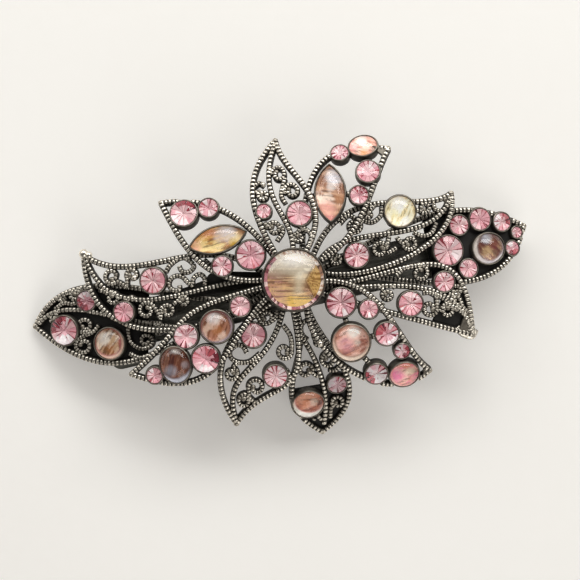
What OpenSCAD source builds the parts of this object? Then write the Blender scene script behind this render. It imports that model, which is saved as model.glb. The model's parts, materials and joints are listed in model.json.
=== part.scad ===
// Flower hair clip: a French-style snap clip under a layered filigree flower set with stones.
// +X runs along the clip towards its hinge, +Y across it, +Z up.
// The origin is under the middle of the flower, on the plane that the closed clip rests on.

/* [Clip bar] */
// Width of the arched bar
bar_w = 9; // [8.5:0.5:10]
// Thickness of the bar's strip
bar_t = 0.8; // [0.6:0.1:0.9]
// Height of the bar's top at its middle
crown_z = 11; // [10.8:0.1:11.4]
// Radius of the bar's arch
bar_r = 105; // [100:1:115]
// Half length of the arched stretch
arch_x = 33; // [32:0.5:34]
// Distance from the middle to each end of the bar
bar_end_x = 41; // [40.5:0.5:42]
// Place of the clip's centre line across the flower
bar_y = -1.4; // [-1.6:0.1:-1.2]

/* [Clasp arm] */
// Width of the arm that closes under the hair
arm_w = 6; // [5.6:0.1:6.2]
// Thickness of the arm
arm_t = 0.8; // [0.7:0.1:0.9]
// Place of the hinge pin along the clip
hinge_x = 38; // [37.8:0.1:38.2]
// Height of the hinge pin
hinge_z = 1.6; // [1.5:0.1:1.8]
// Diameter of the hinge pin
pin_d = 1.2; // [1.1:0.1:1.3]

/* [Catch] */
// Place of the catch along the clip
catch_x = -36; // [-36.4:0.1:-35.6]
// Length of each finger tab along the clip
tab_l = 7; // [6:0.5:7.5]
// Reach of each finger tab from the centre line
tab_reach = 8.3; // [8:0.1:8.6]

/* [Filigree] */
// Height of the cast filigree walls
wall_h = 1.1; // [1:0.05:1.15]
// Width of the ribbed edge wires
edge_w = 1; // [0.9:0.05:1.05]
// Width of the scroll wires
scroll_w = 0.75; // [0.7:0.05:0.8]
// Rise from one layer of leaves to the next
layer_rise = 1.7; // [1.65:0.05:1.8]
// Droop of the long leaves, 46 mm out along the clip
end_droop = 7.4; // [7:0.1:7.5]
// Droop of the petals, 22 mm out across the clip
side_droop = 3.7; // [3.4:0.1:3.8]

/* [Stones] */
// Diameter of the middle stone
centre_d = 12; // [11.8:0.1:12.2]
// Wall of the cup around each stone
cup_wall = 0.35; // [0.3:0.05:0.4]
// Gap between a stone and its cup
seat_gap = 0.03; // [0.02:0.01:0.05]

/* [Hidden] */

round_fn = 48;
arc_fn = 200;
edge_steps = 10;
rib_steps = 9;
scroll_steps = 6;
back_steps = 5;
back_t = 0.25;
scroll_sweep = 370;
arc_z = crown_z - bar_r;
arch_angle = asin(arch_x / bar_r);
tail_top = arc_z + bar_r * cos(arch_angle);
tail_low = tail_top - bar_t;

// Layers of the flower: leaves of layer n lie on tier n of the hub
hub_t = 0.8;
leaf_z = crown_z + hub_t;
tier_r = [6.3, 5.2, 4.3, 3.4, 2.4];
flat_r = 8.5;
top_layer = 4;
cup_z = leaf_z + (top_layer - 1) * layer_rise + wall_h + 0.1;
cup_rise = 1.8;
cup_floor = 0.6;
boat_cup_h = 1.5;
seat_z0 = 0.5;

// Ears of the bar, with the two pivots they carry
ear_gap = arm_w + 0.5;
ear_t = 0.8;
ear_x = 31.4;
ear_low = 0.3;
spring_pivot = [33.6, 3.4];
pivot_r = 0.5;
run_gap = 0.05;
press_gap = 0.02;
knuckle_r = 1.45;

// Rivets
rivet_x = 3.2;
rivet_r = 0.9;
head_r = rivet_r + 0.7;
head_h = 0.5;
rivet_top = leaf_z + 1.2;

// Arm: its left end is raised and has a window for the catch
window_x = 4.7;
window_y = 5.3;
raise_z = 1.6;
end_w = arm_w + 1.8;

// Tension spring
spring_r = 141;
spring_top = 8;
spring_t = 0.5;
spring_w = 5.4;
spring_left = -30.8;
barrel_r = 0.9;

// Pinch catch
plate_t = 0.6;
plate_l = 8;
plate_w = 7.2;
prong_gap = 0.08;
leg_w = 4;
leg_t = 0.7;
leg_y = 1.2;
hook_z = 0.5;
hook_h = 0.6;
hook_reach = 1.25;
tab_t = 0.7;
tab_hole_r = 0.8;

// Each leaf: layer, two edges, ribs, and how far along its solid back starts (1 is no back).
// A curve is a cubic: its ends and two handles, in mm.
far_left = [0,
    [[-6, 0.6], [-16, -8], [-41, 19], [-52.6, 2.6]],
    [[-6, -1.2], [-27, -5.5], [-38.5, -17], [-52.6, 2.6]],
    [[[-6, -0.4], [-24, -15], [-42, 11], [-51.6, 3]]],
    0.5];
left = [1,
    [[-4.9, 1.5], [-14, 15.5], [-31, 4.5], [-39.8, 14.2]],
    [[-5, -0.8], [-22, -8.5], [-43.5, -4.5], [-39.8, 14.2]],
    [[[-5.1, 0.4], [-15, 6], [-37, -4.5], [-39.6, 13.4]]],
    1];
upper_left = [2,
    [[-2.15, 3.7], [-6, 14], [-12, 20], [-22.4, 20.7]],
    [[-4.1, 1.2], [-17.5, 2], [-20, 11], [-22.4, 20.7]],
    [],
    1];
top = [3,
    [[-1.6, 3.1], [-4.5, 12.5], [-7.5, 21], [2.6, 27.6]],
    [[1.7, 3.1], [13.5, 14], [2.5, 20], [2.6, 27.6]],
    [[[0.3, 3.2], [4.5, 13], [-5, 15.5], [2.4, 27]]],
    1];
upper_right = [2,
    [[2.4, 3.4], [5.5, 15], [7.5, 27.5], [24.2, 21.1]],
    [[3.6, 2.1], [15.5, 4], [18.5, 14.5], [24.2, 21.1]],
    [],
    1];
upper_right_lobed = [1,
    [[4.2, 2.9], [13.5, 18.5], [28, 6.5], [34.4, 9.8]],
    [[5.05, 0.6], [12, -3.8], [34, -2], [34.4, 9.8]],
    [[[4.85, 1.6], [12, 10.5], [27.5, -1], [34, 9]]],
    1];
far_right = [0,
    [[6, 1], [22, 5], [34, 11.5], [47.2, 0.2]],
    [[6, -1.2], [16, 0.5], [38.5, -18.5], [47.2, 0.2]],
    [],
    0.5];
lower_right_lobed = [1,
    [[4.7, -2.1], [20, -5.6], [36, 5], [32.3, -18.5]],
    [[3.9, -3.3], [14, -9], [23.5, -14], [32.3, -18.5]],
    [[[4.4, -2.6], [13.5, -5.5], [31.5, -4.5], [32.2, -17.6]]],
    0.72];
lower_right = [2,
    [[3.95, -1.35], [18, -2.5], [16.5, -16.5], [22.3, -23.4]],
    [[2.4, -3.4], [-3.5, -12], [11.5, -30], [22.3, -23.4]],
    [],
    1];
bottom_right = [0,
    [[1.4, -5.95], [2, -15], [13, -24.5], [-1.3, -30.6]],
    [[-0.9, -6.05], [0.5, -17], [-12, -21.5], [-1.3, -30.6]],
    [[[-0.8, -12], [1, -17], [2, -23], [-0.6, -29]]],
    0.6];
bottom_left = [1,
    [[-4.1, -3.05], [-14, -6], [-22.5, -13.5], [-17.7, -25.1]],
    [[-1.5, -4.9], [-1.5, -26], [-9, -17], [-17.7, -25.1]],
    [[[-2.95, -4.15], [-8.5, -17.5], [-18.5, -13.5], [-17.6, -24.4]]],
    1];
lower_left = [2,
    [[-4.15, 0.05], [-28, -0.5], [-20, -3], [-35.7, -11]],
    [[-4, -1.2], [-16, -6.5], [-18, -22.5], [-35.7, -11]],
    [],
    1];

// Scrolls: x, y, outer radius, the angle where the tail leaves, the way it turns and the tail's length
far_left_scrolls = [[-44.1, 6.3, 1, 100, -1, 0.7], [-46, 5.8, 0.7, 240, 1, 0.4],
    [-42.3, 0.6, 1.3, 180, 1, 0.3], [-43.6, -3.4, 1.4, 235, 1, 0.9], [-32, -6, 1.5, 275, -1, 0.8],
    [-49.4, 3, 0.6, 110, -1, 0.6]];
left_scrolls = [[-35.3, 8.8, 1.5, 75, 1, 0.6], [-31.4, 7.4, 1.1, 85, -1, 1.4],
    [-36.6, 4.2, 1.3, 40, -1, 0.3], [-30, 0.2, 1.6, 80, 1, 1], [-26.2, -0.9, 1.4, 90, 1, 1.8],
    [-23.3, 4.8, 1.4, 265, -1, 1.1], [-18.4, 5, 1.4, 270, 1, 1.3], [-20.4, 7.8, 1.1, 90, -1, 0.5]];
top_scrolls = [[1.8, 20.9, 1.3, 165, 1, 0.7], [3.4, 17.2, 1.6, 25, 1, 1.1],
    [-2.6, 17.8, 1.2, 175, 1, 0.5], [-1.4, 10.2, 1.4, 190, -1, 0.9], [3.6, 8.4, 1.4, 180, -1, 0.7]];
upper_right_leaf_scrolls = [[28.6, 7.6, 1.3, 90, -1, 0.6], [18.2, 8.6, 1.6, 80, -1, 1.1],
    [13.8, 7.6, 1.4, 265, 1, 0.8], [18, 2, 1.5, 80, -1, 1.6], [23.4, 1.9, 1.4, 90, 1, 1.3],
    [9, 2.2, 1.1, 130, 1, 1.1], [28.6, 3.4, 1.1, 110, -1, 0.5]];
lower_right_leaf_scrolls = [[24.2, -4.6, 1.5, 85, 1, 0.4], [17.6, -7.6, 1.4, 85, 1, 0.8],
    [24.8, -12.4, 1.3, 245, 1, 1.1], [29, -13.1, 1.4, 35, 1, 0.4], [26.6, -9.9, 1, 70, -1, 0.3],
    [30.9, -10, 0.9, 220, 1, 0.6]];
bottom_right_scrolls = [[0.6, -10.6, 1.3, 10, 1, 0.4], [3.4, -17.6, 1.4, 30, -1, 0.3],
    [-2, -18.6, 1.3, 150, 1, 0.8], [2.8, -25.4, 1.4, 170, 1, 0.5]];
bottom_left_scrolls = [[-7.2, -6, 1.3, 110, -1, 0.4], [-14.4, -11.8, 1.3, 140, 1, 0.9],
    [-16.9, -15.8, 1.3, 160, 1, 0.6], [-12.4, -18.9, 1.4, 290, -1, 1.4],
    [-15.3, -21.6, 1.2, 295, 1, 0.3], [-4.6, -13.4, 1.3, 350, -1, 1.1]];

// Short bars that join a stone's cup to its neighbour: both ends
upper_right_links = [[[13, 14.6], [15, 14]], [[6.6, 15.4], [8.8, 15.4]]];
lower_right_links = [[[8.2, -9], [8.3, -11.5]], [[10.5, -7.6], [12, -8.3]],
    [[11.5, -14.5], [13.8, -14.4]], [[9.8, -17.6], [11, -19.6]]];

// Round faceted stones: x, y and diameter
far_left_round = [[-46.7, 0.5, 5.8], [-41.2, 5.3, 3.9]];
left_round = [[-27.3, 6.2, 5], [-34.3, 1.4, 4]];
upper_left_round = [[-18.4, 17.5, 5.3], [-13.4, 17.5, 3.8], [-7.3, 6.8, 5.6], [-13.3, 5.9, 3.9]];
top_round = [[-2.8, 14.5, 2.8], [4, 12.5, 4.8]];
upper_right_round = [[14.6, 22.2, 3.4], [19.2, 17.4, 4.5], [16.4, 13.4, 3.6]];
upper_right_leaf_round = [[13.3, 2, 4.8]];
far_right_round = [[31.1, -1.2, 5.9], [34.4, 3.3, 3.8], [38.7, 3.5, 4.3], [42.9, 2, 3.6],
    [45.4, -0.7, 2.2], [43.8, -3.6, 2.8], [34.3, -5.6, 3.6]];
lower_right_leaf_round = [[29, -7.1, 3.9], [21.5, -9.8, 4.8]];
lower_right_round = [[8.1, -6.5, 5.7], [13.2, -9, 3.6], [15.6, -14.4, 4.6], [17.8, -18.3, 3],
    [11.8, -21.4, 4.4]];
bottom_right_round = [[3.7, -21.8, 3.7]];
bottom_left_round = [[-10.4, -8.9, 4.8], [-7.9, -17.5, 4.6]];
lower_left_round = [[-11.6, -2.7, 3.9], [-23.4, -6.1, 4.7], [-20.6, -11.3, 5.4],
    [-31.2, -12.2, 3.2]];
// Domed stones: x, y, size along X and size along Y
far_left_domed = [[-38.5, -4.1, 6.2, 6.2]];
yellow_domed = [[23.6, 8.6, 6.1, 6.1]];
peach_domed = [[19.4, 22.4, 5.6, 4.6]];
far_right_domed = [[39, -2.6, 6.6, 6]];
lower_right_domed = [[17.2, -22.7, 5.8, 5.4], [8.3, -14.5, 7.4, 7.4]];
bottom_domed = [[-2.8, -24.2, 6.2, 6.2]];
lower_left_domed = [[-17.1, -5.6, 6.4, 6.4], [-26.7, -11.1, 6, 7.2]];
// Boat-shaped stones: x, y, length, width and turn
left_boat = [[-13, 11.2, 11.4, 5, 3]];
right_boat = [[10.9, 15, 11.6, 5.8, 79]];

function blend(e, t) = pow(1 - t, 3) * e[0] + 3 * pow(1 - t, 2) * t * e[1]
    + 3 * (1 - t) * t * t * e[2] + pow(t, 3) * e[3];
function out(v) = max(0, abs(v) - flat_r);
function droop(p) = end_droop * pow(out(p.x) / (46 - flat_r), 2.6)
    + side_droop * pow(out(p.y) / (22 - flat_r), 2.2);
function slope_x(p) = -sign(p.x) * end_droop * 2.6 / (46 - flat_r)
    * pow(out(p.x) / (46 - flat_r), 1.6);
function slope_y(p) = -sign(p.y) * side_droop * 2.2 / (22 - flat_r)
    * pow(out(p.y) / (22 - flat_r), 1.2);
function seat_z(p, layer) = leaf_z + layer * layer_rise - droop(p);
function cup_h(d) = 0.95 + 0.1 * d;

// Places its children on the drooping surface of a layer, square to it
module seated(p, layer) {
    s = [slope_x(p), slope_y(p)];
    tilt = atan(norm(s));
    turn = tilt == 0 ? 0 : atan2(-s.y, -s.x);
    translate([p.x, p.y, seat_z(p, layer)])
        rotate([0, 0, turn])
            rotate([0, tilt, 0])
                rotate([0, 0, -turn])
                    children();
}

module post(p, layer, w, h = wall_h) {
    translate([p.x, p.y, seat_z(p, layer)])
        rotate([0, 0, 22.5])
            cylinder(h = h, d = w, $fn = 6);
}

module wire(points, layer, w) {
    for (i = [0 : len(points) - 2])
        hull() {
            post(points[i], layer, w);
            post(points[i + 1], layer, w);
        }
}

module curve(e, layer, w, steps) {
    wire([for (i = [0 : steps]) blend(e, i / steps)], layer, w);
}

// Thin solid back between a leaf's two edges, as far as its tip
module leaf_back(spec) {
    start = spec[4];
    for (i = [0 : back_steps - 1])
        hull()
            for (side = [1, 2], k = [i, i + 1])
                post(blend(spec[side], start + (1 - start) * k / back_steps), spec[0],
                    edge_w / 2, back_t);
}

// A scroll's tail leaves a wire and turns in, closing to two fifths of its radius
module scroll(s, layer) {
    tail = [s.x + (s[2] + s[5]) * cos(s[3]), s.y + (s[2] + s[5]) * sin(s[3])];
    turns = [for (i = [0 : scroll_steps])
        let (a = s[3] + s[4] * (25 + scroll_sweep * i / scroll_steps),
            r = s[2] * (1 - 0.6 * i / scroll_steps))
        [s.x + r * cos(a), s.y + r * sin(a)]];
    wire(concat([tail], turns), layer, scroll_w);
}

// Prism round a stone, no smaller than the ellipse with these half widths
module prism(rx, ry, h, n) {
    fit = 1 / cos(180 / n);
    scale([rx * fit, ry * fit, 1])
        cylinder(h = h, r = 1, $fn = n);
}

// Outline of a boat-shaped stone: two equal arcs that meet in points
module boat_outline(l, w, grow) {
    r = (l * l / 4 + w * w / 4) / w;
    intersection() {
        translate([0, r - w / 2])
            circle(r = r + grow, $fn = 90);
        translate([0, w / 2 - r])
            circle(r = r + grow, $fn = 90);
    }
}

// One prism per stone of a leaf: its cup's outside, or with a lift its seat
module stone_prisms(stones, layer, grow, lift) {
    for (s = stones[0])
        seated(s, layer)
            translate([0, 0, lift])
                prism(s[2] / 2 + grow, s[2] / 2 + grow, cup_h(s[2]), s[2] > 4.5 ? 12 : 10);
    for (s = stones[1])
        seated(s, layer)
            translate([0, 0, lift])
                prism(s[2] / 2 + grow, s[3] / 2 + grow, cup_h(s[2]), 14);
    for (s = stones[2])
        seated(s, layer)
            translate([0, 0, lift])
                rotate([0, 0, s[4]])
                    linear_extrude(boat_cup_h)
                        boat_outline(s[2], s[3], grow);
}

// A cast leaf: two edges, ribs, links, scrolls and a cup with a floor for each stone
module leaf(spec, scrolls, links, stones) {
    layer = spec[0];
    color("dimgray")
        difference() {
            union() {
                for (side = [1, 2])
                    curve(spec[side], layer, edge_w, edge_steps);
                wire([spec[1][0], spec[2][0]], layer, edge_w);
                for (rib = spec[3])
                    curve(rib, layer, edge_w * 0.9, rib_steps);
                for (ends = links)
                    wire(ends, layer, edge_w);
                for (s = scrolls)
                    scroll(s, layer);
                if (spec[4] < 1)
                    leaf_back(spec);
                stone_prisms(stones, layer, cup_wall + seat_gap, 0);
            }
            stone_prisms(stones, layer, seat_gap, seat_z0);
        }
}

// Round brilliant: flat back, thin girdle and a sloped crown up to the table
module chaton(d) {
    r = d / 2;
    rotate_extrude($fn = round_fn)
        polygon([[0, 0], [r * 0.6, 0], [r, r * 0.3], [r, r * 0.38], [r * 0.6, r * 0.6],
            [0, r * 0.6]]);
}

module chatons(list, layer, tint) {
    color(tint)
        for (s = list)
            seated(s, layer)
                translate([0, 0, seat_z0 + seat_gap])
                    chaton(s[2]);
}

// Domed stone: a straight girdle under a round cap
module dome_stone(rx, ry) {
    r = min(rx, ry);
    rise = 0.62 * r;
    cap_r = (r * r + rise * rise) / (2 * rise);
    girdle = 0.5;
    if (rx == ry) {
        intersection() {
            cylinder(h = 5, r = r, $fn = round_fn);
            translate([0, 0, girdle + rise - cap_r])
                sphere(r = cap_r, $fn = round_fn);
        }
    } else {
        scale([rx / r, ry / r, 1])
            rotate_extrude($fn = 12)
                polygon([[0, 0], [r, 0], [r, girdle], [r * 0.8, girdle + rise * 0.48],
                    [r * 0.45, girdle + rise * 0.85], [0, girdle + rise]]);
    }
}

module dome_stones(list, layer, tint) {
    color(tint)
        for (s = list)
            seated(s, layer)
                translate([0, 0, seat_z0 + seat_gap])
                    dome_stone(s[2] / 2, s[3] / 2);
}

module boat_stones(list, layer, tint) {
    color(tint)
        for (s = list)
            seated(s, layer)
                translate([0, 0, seat_z0 + seat_gap])
                    rotate([0, 0, s[4]])
                        intersection() {
                            linear_extrude(3)
                                boat_outline(s[2], s[3], 0);
                            translate([0, 0, 2.5 - s[2]])
                                sphere(r = s[2], $fn = round_fn);
                        }
}

// Strip bent to an arc about the Y direction, from x = left to x = right
module arc_strip(r, top_z, t, w, left, right) {
    start = acos(right / r);
    translate([0, bar_y + w / 2, top_z - r])
        rotate([90, 0, 0])
            rotate([0, 0, start])
                rotate_extrude(angle = acos(left / r) - start, $fn = arc_fn)
                    translate([r - t, 0])
                        square([t, w]);
}

// Cylinder across the clip, centred on its centre line
module cross_pin(x, z, r, l) {
    translate([x, bar_y + l / 2, z])
        rotate([90, 0, 0])
            cylinder(h = l, r = r, $fn = round_fn);
}

// Upright hole for a rivet
module rivet_hole(x) {
    translate([x, bar_y, 0])
        cylinder(h = rivet_top + 0.05, r = rivet_r + press_gap, $fn = round_fn);
}

module ear(side) {
    y = bar_y + side * (ear_gap + ear_t) / 2 + ear_t / 2;
    translate([0, y, 0])
        rotate([90, 0, 0])
            linear_extrude(ear_t)
                hull() {
                    translate([ear_x, tail_low])
                        square([bar_end_x - ear_x, bar_t / 2]);
                    translate([hinge_x, hinge_z])
                        circle(r = hinge_z - ear_low, $fn = round_fn);
                    translate(spring_pivot)
                        circle(r = pivot_r + 0.6, $fn = round_fn);
                }
}

// Arched strip with flat tails: a round end over the catch, ears and pivots at the other end
module base_bar() {
    lap = 0.4;
    round_x = bar_w / 2 - bar_end_x;
    color("gainsboro")
        difference() {
            union() {
                arc_strip(bar_r, crown_z, bar_t, bar_w, -arch_x, arch_x);
                translate([arch_x - lap, bar_y - bar_w / 2, tail_low])
                    cube([bar_end_x - arch_x + lap, bar_w, bar_t]);
                translate([round_x, bar_y - bar_w / 2, tail_low])
                    cube([lap - arch_x - round_x, bar_w, bar_t]);
                translate([round_x, bar_y, tail_low])
                    cylinder(h = bar_t, r = bar_w / 2, $fn = round_fn);
                for (side = [-1, 1])
                    ear(side);
            }
            cross_pin(hinge_x, hinge_z, pin_d / 2 + press_gap, bar_w * 2);
            cross_pin(spring_pivot.x, spring_pivot.y, pivot_r + run_gap, bar_w * 2);
            for (x = [-rivet_x, rivet_x, catch_x])
                rivet_hole(x);
        }
}

module hinge_pin() {
    end_h = 0.4;
    side_y = ear_gap / 2 + ear_t + end_h / 2 + 0.05;
    color("silver")
        union() {
            cross_pin(hinge_x, hinge_z, pin_d / 2, 2 * side_y);
            for (side = [-1, 1])
                translate([0, side * side_y, 0])
                    cross_pin(hinge_x, hinge_z, pin_d / 2 + 0.3, end_h);
        }
}

// Strip that closes under the hair; its raised end has the catch's window
module clasp_arm() {
    left_x = catch_x - window_x / 2 - 1.4;
    ramp = catch_x + window_x / 2 + 1.2;
    lap = 0.4;
    color("silver")
        difference() {
            union() {
                translate([0, bar_y + end_w / 2, 0])
                    rotate([90, 0, 0])
                        linear_extrude(end_w)
                            polygon([[left_x, raise_z], [ramp, raise_z], [ramp + 1.8, 0],
                                [ramp + 3.4, 0], [ramp + 3.4, arm_t], [ramp + 2.2, arm_t],
                                [ramp + 0.4, raise_z + arm_t], [left_x, raise_z + arm_t]]);
                translate([ramp + 3.4 - lap, bar_y - arm_w / 2, 0])
                    cube([hinge_x - ramp - 3.4 + lap, arm_w, arm_t]);
                cross_pin(hinge_x, hinge_z, knuckle_r, arm_w);
            }
            cross_pin(hinge_x, hinge_z, pin_d / 2 + run_gap, arm_w * 2);
            translate([catch_x - window_x / 2, bar_y - window_y / 2, 0])
                cube([window_x, window_y, 5]);
        }
}

// Thin bow that presses the hair down onto the arm; it turns on two stubs in the bar's ears
module tension_spring() {
    color("lightgray")
        union() {
            arc_strip(spring_r, spring_top, spring_t, spring_w, spring_left,
                spring_pivot.x - 0.4);
            cross_pin(spring_pivot.x, spring_pivot.y, barrel_r, spring_w + 0.6);
            cross_pin(spring_pivot.x, spring_pivot.y, pivot_r, ear_gap + 2 * ear_t);
        }
}

module catch_plate() {
    color("silver")
        difference() {
            translate([catch_x - plate_l / 2, bar_y - plate_w / 2, tail_low - plate_t])
                cube([plate_l, plate_w, plate_t]);
            rivet_hole(catch_x);
        }
}

// Rivet from the bar's top face down to the plate's underside, with a flat head above
module catch_rivet() {
    grip = plate_t + bar_t;
    color("silver")
        translate([catch_x, bar_y, tail_low - plate_t])
            union() {
                cylinder(h = grip + 0.1, r = rivet_r, $fn = round_fn);
                translate([0, 0, grip])
                    cylinder(h = head_h, r = head_r, $fn = round_fn);
            }
}

// One leg of the pinch catch: an upright through the arm's window, a hook and a finger tab
module prong(side) {
    top_z = tail_low - plate_t - prong_gap;
    corner_r = 2;
    color("silver")
        translate([catch_x, bar_y, 0])
            mirror([0, side < 0 ? 1 : 0, 0])
                difference() {
                    union() {
                        translate([-leg_w / 2, leg_y, hook_z])
                            cube([leg_w, leg_t, top_z - hook_z]);
                        translate([-leg_w / 2, leg_y, hook_z])
                            cube([leg_w, hook_reach, hook_h]);
                        hull() {
                            translate([-tab_l / 2, leg_y, top_z - tab_t])
                                cube([tab_l, 1.5, tab_t]);
                            for (x = [-1, 1])
                                translate([x * (tab_l / 2 - corner_r), tab_reach - corner_r,
                                    top_z - tab_t])
                                    cylinder(h = tab_t, r = corner_r, $fn = round_fn);
                        }
                    }
                    translate([0, tab_reach - corner_r - 0.2, 0])
                        cylinder(h = top_z + 1, r = tab_hole_r, $fn = round_fn);
                }
}

module front_prong() { prong(-1); }
module rear_prong() { prong(1); }

// Stepped seat that the leaves are soldered to; it is flat below, on the bar's crown
module hub_plate() {
    color("dimgray")
        difference() {
            union() {
                for (n = [0 : top_layer])
                    translate([0, 0, crown_z])
                        cylinder(h = hub_t + (n < top_layer ? n * layer_rise : cup_z - leaf_z),
                            r = tier_r[n], $fn = round_fn);
            }
            for (x = [-rivet_x, rivet_x])
                rivet_hole(x);
        }
}

// Two rivets that hold the hub to the bar, with heads against the bar's underside
module mount_rivets() {
    low_z = arc_z + sqrt(pow(bar_r - bar_t, 2) - pow(rivet_x + head_r, 2)) - head_h - 0.02;
    color("silver")
        for (x = [-rivet_x, rivet_x])
            translate([x, bar_y, low_z])
                union() {
                    cylinder(h = head_h, r = head_r, $fn = round_fn);
                    cylinder(h = rivet_top - low_z, r = rivet_r, $fn = round_fn);
                }
}

module centre_cup() {
    r = centre_d / 2 + seat_gap;
    color("silver")
        translate([0, 0, cup_z])
            difference() {
                cylinder(h = cup_rise, r = r + 0.4, $fn = round_fn);
                translate([0, 0, cup_floor])
                    cylinder(h = cup_rise, r = r, $fn = round_fn);
            }
}

module centre_stone() {
    rise = 1.9;
    girdle = 1.4;
    r = centre_d / 2;
    cap_r = (r * r + rise * rise) / (2 * rise);
    color("navajowhite")
        translate([0, 0, cup_z + cup_floor + seat_gap])
            intersection() {
                cylinder(h = 6, r = r, $fn = round_fn);
                translate([0, 0, girdle + rise - cap_r])
                    sphere(r = cap_r, $fn = round_fn);
            }
}

module far_left_leaf() {
    leaf(far_left, far_left_scrolls, [], [far_left_round, far_left_domed, []]);
}
module left_leaf() { leaf(left, left_scrolls, [], [left_round, [], []]); }
module upper_left_petal() { leaf(upper_left, [], [], [upper_left_round, [], left_boat]); }
module top_petal() { leaf(top, top_scrolls, [], [top_round, [], []]); }
module upper_right_petal() {
    leaf(upper_right, [], upper_right_links, [upper_right_round, peach_domed, right_boat]);
}
module upper_right_leaf() {
    leaf(upper_right_lobed, upper_right_leaf_scrolls, [],
        [upper_right_leaf_round, yellow_domed, []]);
}
module far_right_leaf() { leaf(far_right, [], [], [far_right_round, far_right_domed, []]); }
module lower_right_leaf() {
    leaf(lower_right_lobed, lower_right_leaf_scrolls, [], [lower_right_leaf_round, [], []]);
}
module lower_right_petal() {
    leaf(lower_right, [], lower_right_links, [lower_right_round, lower_right_domed, []]);
}
module bottom_right_petal() {
    leaf(bottom_right, bottom_right_scrolls, [], [bottom_right_round, bottom_domed, []]);
}
module bottom_left_petal() {
    leaf(bottom_left, bottom_left_scrolls, [], [bottom_left_round, [], []]);
}
module lower_left_petal() { leaf(lower_left, [], [], [lower_left_round, lower_left_domed, []]); }

base_bar();
hinge_pin();
clasp_arm();
tension_spring();
catch_plate();
catch_rivet();
front_prong();
rear_prong();
mount_rivets();
hub_plate();
centre_cup();
centre_stone();
far_left_leaf();
left_leaf();
upper_left_petal();
top_petal();
upper_right_petal();
upper_right_leaf();
far_right_leaf();
lower_right_leaf();
lower_right_petal();
bottom_right_petal();
bottom_left_petal();
lower_left_petal();
chatons(far_left_round, 0, "lightpink");  // far_left_chatons
chatons(left_round, 1, "lightpink");  // left_chatons
chatons(upper_left_round, 2, "lightpink");  // upper_left_chatons
chatons(top_round, 3, "lightpink");  // top_chatons
chatons(upper_right_round, 2, "lightpink");  // upper_right_chatons
chatons(upper_right_leaf_round, 1, "lightpink");  // upper_right_leaf_chaton
chatons(far_right_round, 0, "lightpink");  // far_right_chatons
chatons(lower_right_leaf_round, 1, "lightpink");  // lower_right_leaf_chatons
chatons(lower_right_round, 2, "lightpink");  // lower_right_chatons
chatons(bottom_right_round, 0, "lightpink");  // bottom_right_chaton
chatons(bottom_left_round, 1, "lightpink");  // bottom_left_chatons
chatons(lower_left_round, 2, "lightpink");  // lower_left_chatons
dome_stones(far_left_domed, 0, "peru");  // far_left_cabochon
dome_stones(yellow_domed, 1, "khaki");  // yellow_cabochon
dome_stones(peach_domed, 2, "peachpuff");  // peach_cabochon
dome_stones(far_right_domed, 0, "tan");  // far_right_cabochon
dome_stones(lower_right_domed, 2, "pink");  // lower_right_cabochons
dome_stones(bottom_domed, 0, "sandybrown");  // bottom_cabochon
dome_stones(lower_left_domed, 2, "tan");  // lower_left_cabochons
boat_stones(left_boat, 2, "goldenrod");  // left_marquise
boat_stones(right_boat, 2, "peachpuff");  // right_marquise
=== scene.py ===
"""Looks of the flower hair clip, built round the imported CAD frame. The tables are in mm."""

import json
import math
import random

import bpy
import numpy as np
from mathutils import Matrix, Vector, noise


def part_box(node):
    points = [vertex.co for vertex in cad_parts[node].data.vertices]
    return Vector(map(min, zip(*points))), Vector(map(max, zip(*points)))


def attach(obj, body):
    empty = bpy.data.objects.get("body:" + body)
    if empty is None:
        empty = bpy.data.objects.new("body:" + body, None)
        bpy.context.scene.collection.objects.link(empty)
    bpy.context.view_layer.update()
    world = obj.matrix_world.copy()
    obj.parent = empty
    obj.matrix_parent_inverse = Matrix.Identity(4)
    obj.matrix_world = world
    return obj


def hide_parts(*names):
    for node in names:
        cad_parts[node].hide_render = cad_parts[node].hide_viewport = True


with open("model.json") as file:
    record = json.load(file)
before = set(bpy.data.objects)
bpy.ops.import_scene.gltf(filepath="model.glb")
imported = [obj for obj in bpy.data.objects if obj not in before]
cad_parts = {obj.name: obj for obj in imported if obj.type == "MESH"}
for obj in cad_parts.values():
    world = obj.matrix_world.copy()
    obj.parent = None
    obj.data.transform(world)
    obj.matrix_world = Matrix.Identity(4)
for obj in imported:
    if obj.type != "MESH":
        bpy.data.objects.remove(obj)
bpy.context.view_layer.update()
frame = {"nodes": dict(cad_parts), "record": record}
MM = 0.001
BODY = "flower"
TURN = math.radians(13)  # how far the clip is turned in the picture
UP_AXIS = (math.sin(TURN), math.cos(TURN), 0.0)  # the picture's upward direction

# ---------------------------------------------------------------- sizes, the same as in the CAD
LEAF_Z, LAYER_RISE = 11.8, 1.7  # seat of the lowest leaves, and the step between layers
WALL_H, EDGE_W, SCROLL_W = 1.1, 1.0, 0.75  # height of a wire, width of an edge and a scroll
FLAT_R, END_X, SIDE_Y = 8.5, 46, 22  # where the droop starts, and where it is full
END_DROOP, END_POWER = 7.4, 2.6
SIDE_DROOP, SIDE_POWER = 3.7, 2.2
SEAT_Z0, SEAT_GAP, CUP_WALL = 0.5, 0.03, 0.35  # floor of a cup, play of its stone, its wall
STONE_Z = SEAT_Z0 + SEAT_GAP
CURL_TURN = 400  # degrees that a scroll winds

# Sizes that only the looks have
LOW_H = WALL_H * 0.8  # links and solid tips, a little lower than the wires
UNDER_STONE = 0.12  # how far a wire passes below the floor of a cup
SCROLL = dict(width=SCROLL_W * 1.12, pitch=0.6, cut=0.17, groove=0.16, rub=0.86)
CUP_FOOT, CUP_FOOT_ON_BACK = -0.75, -0.3  # how far a cup reaches below its leaf's surface

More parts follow.
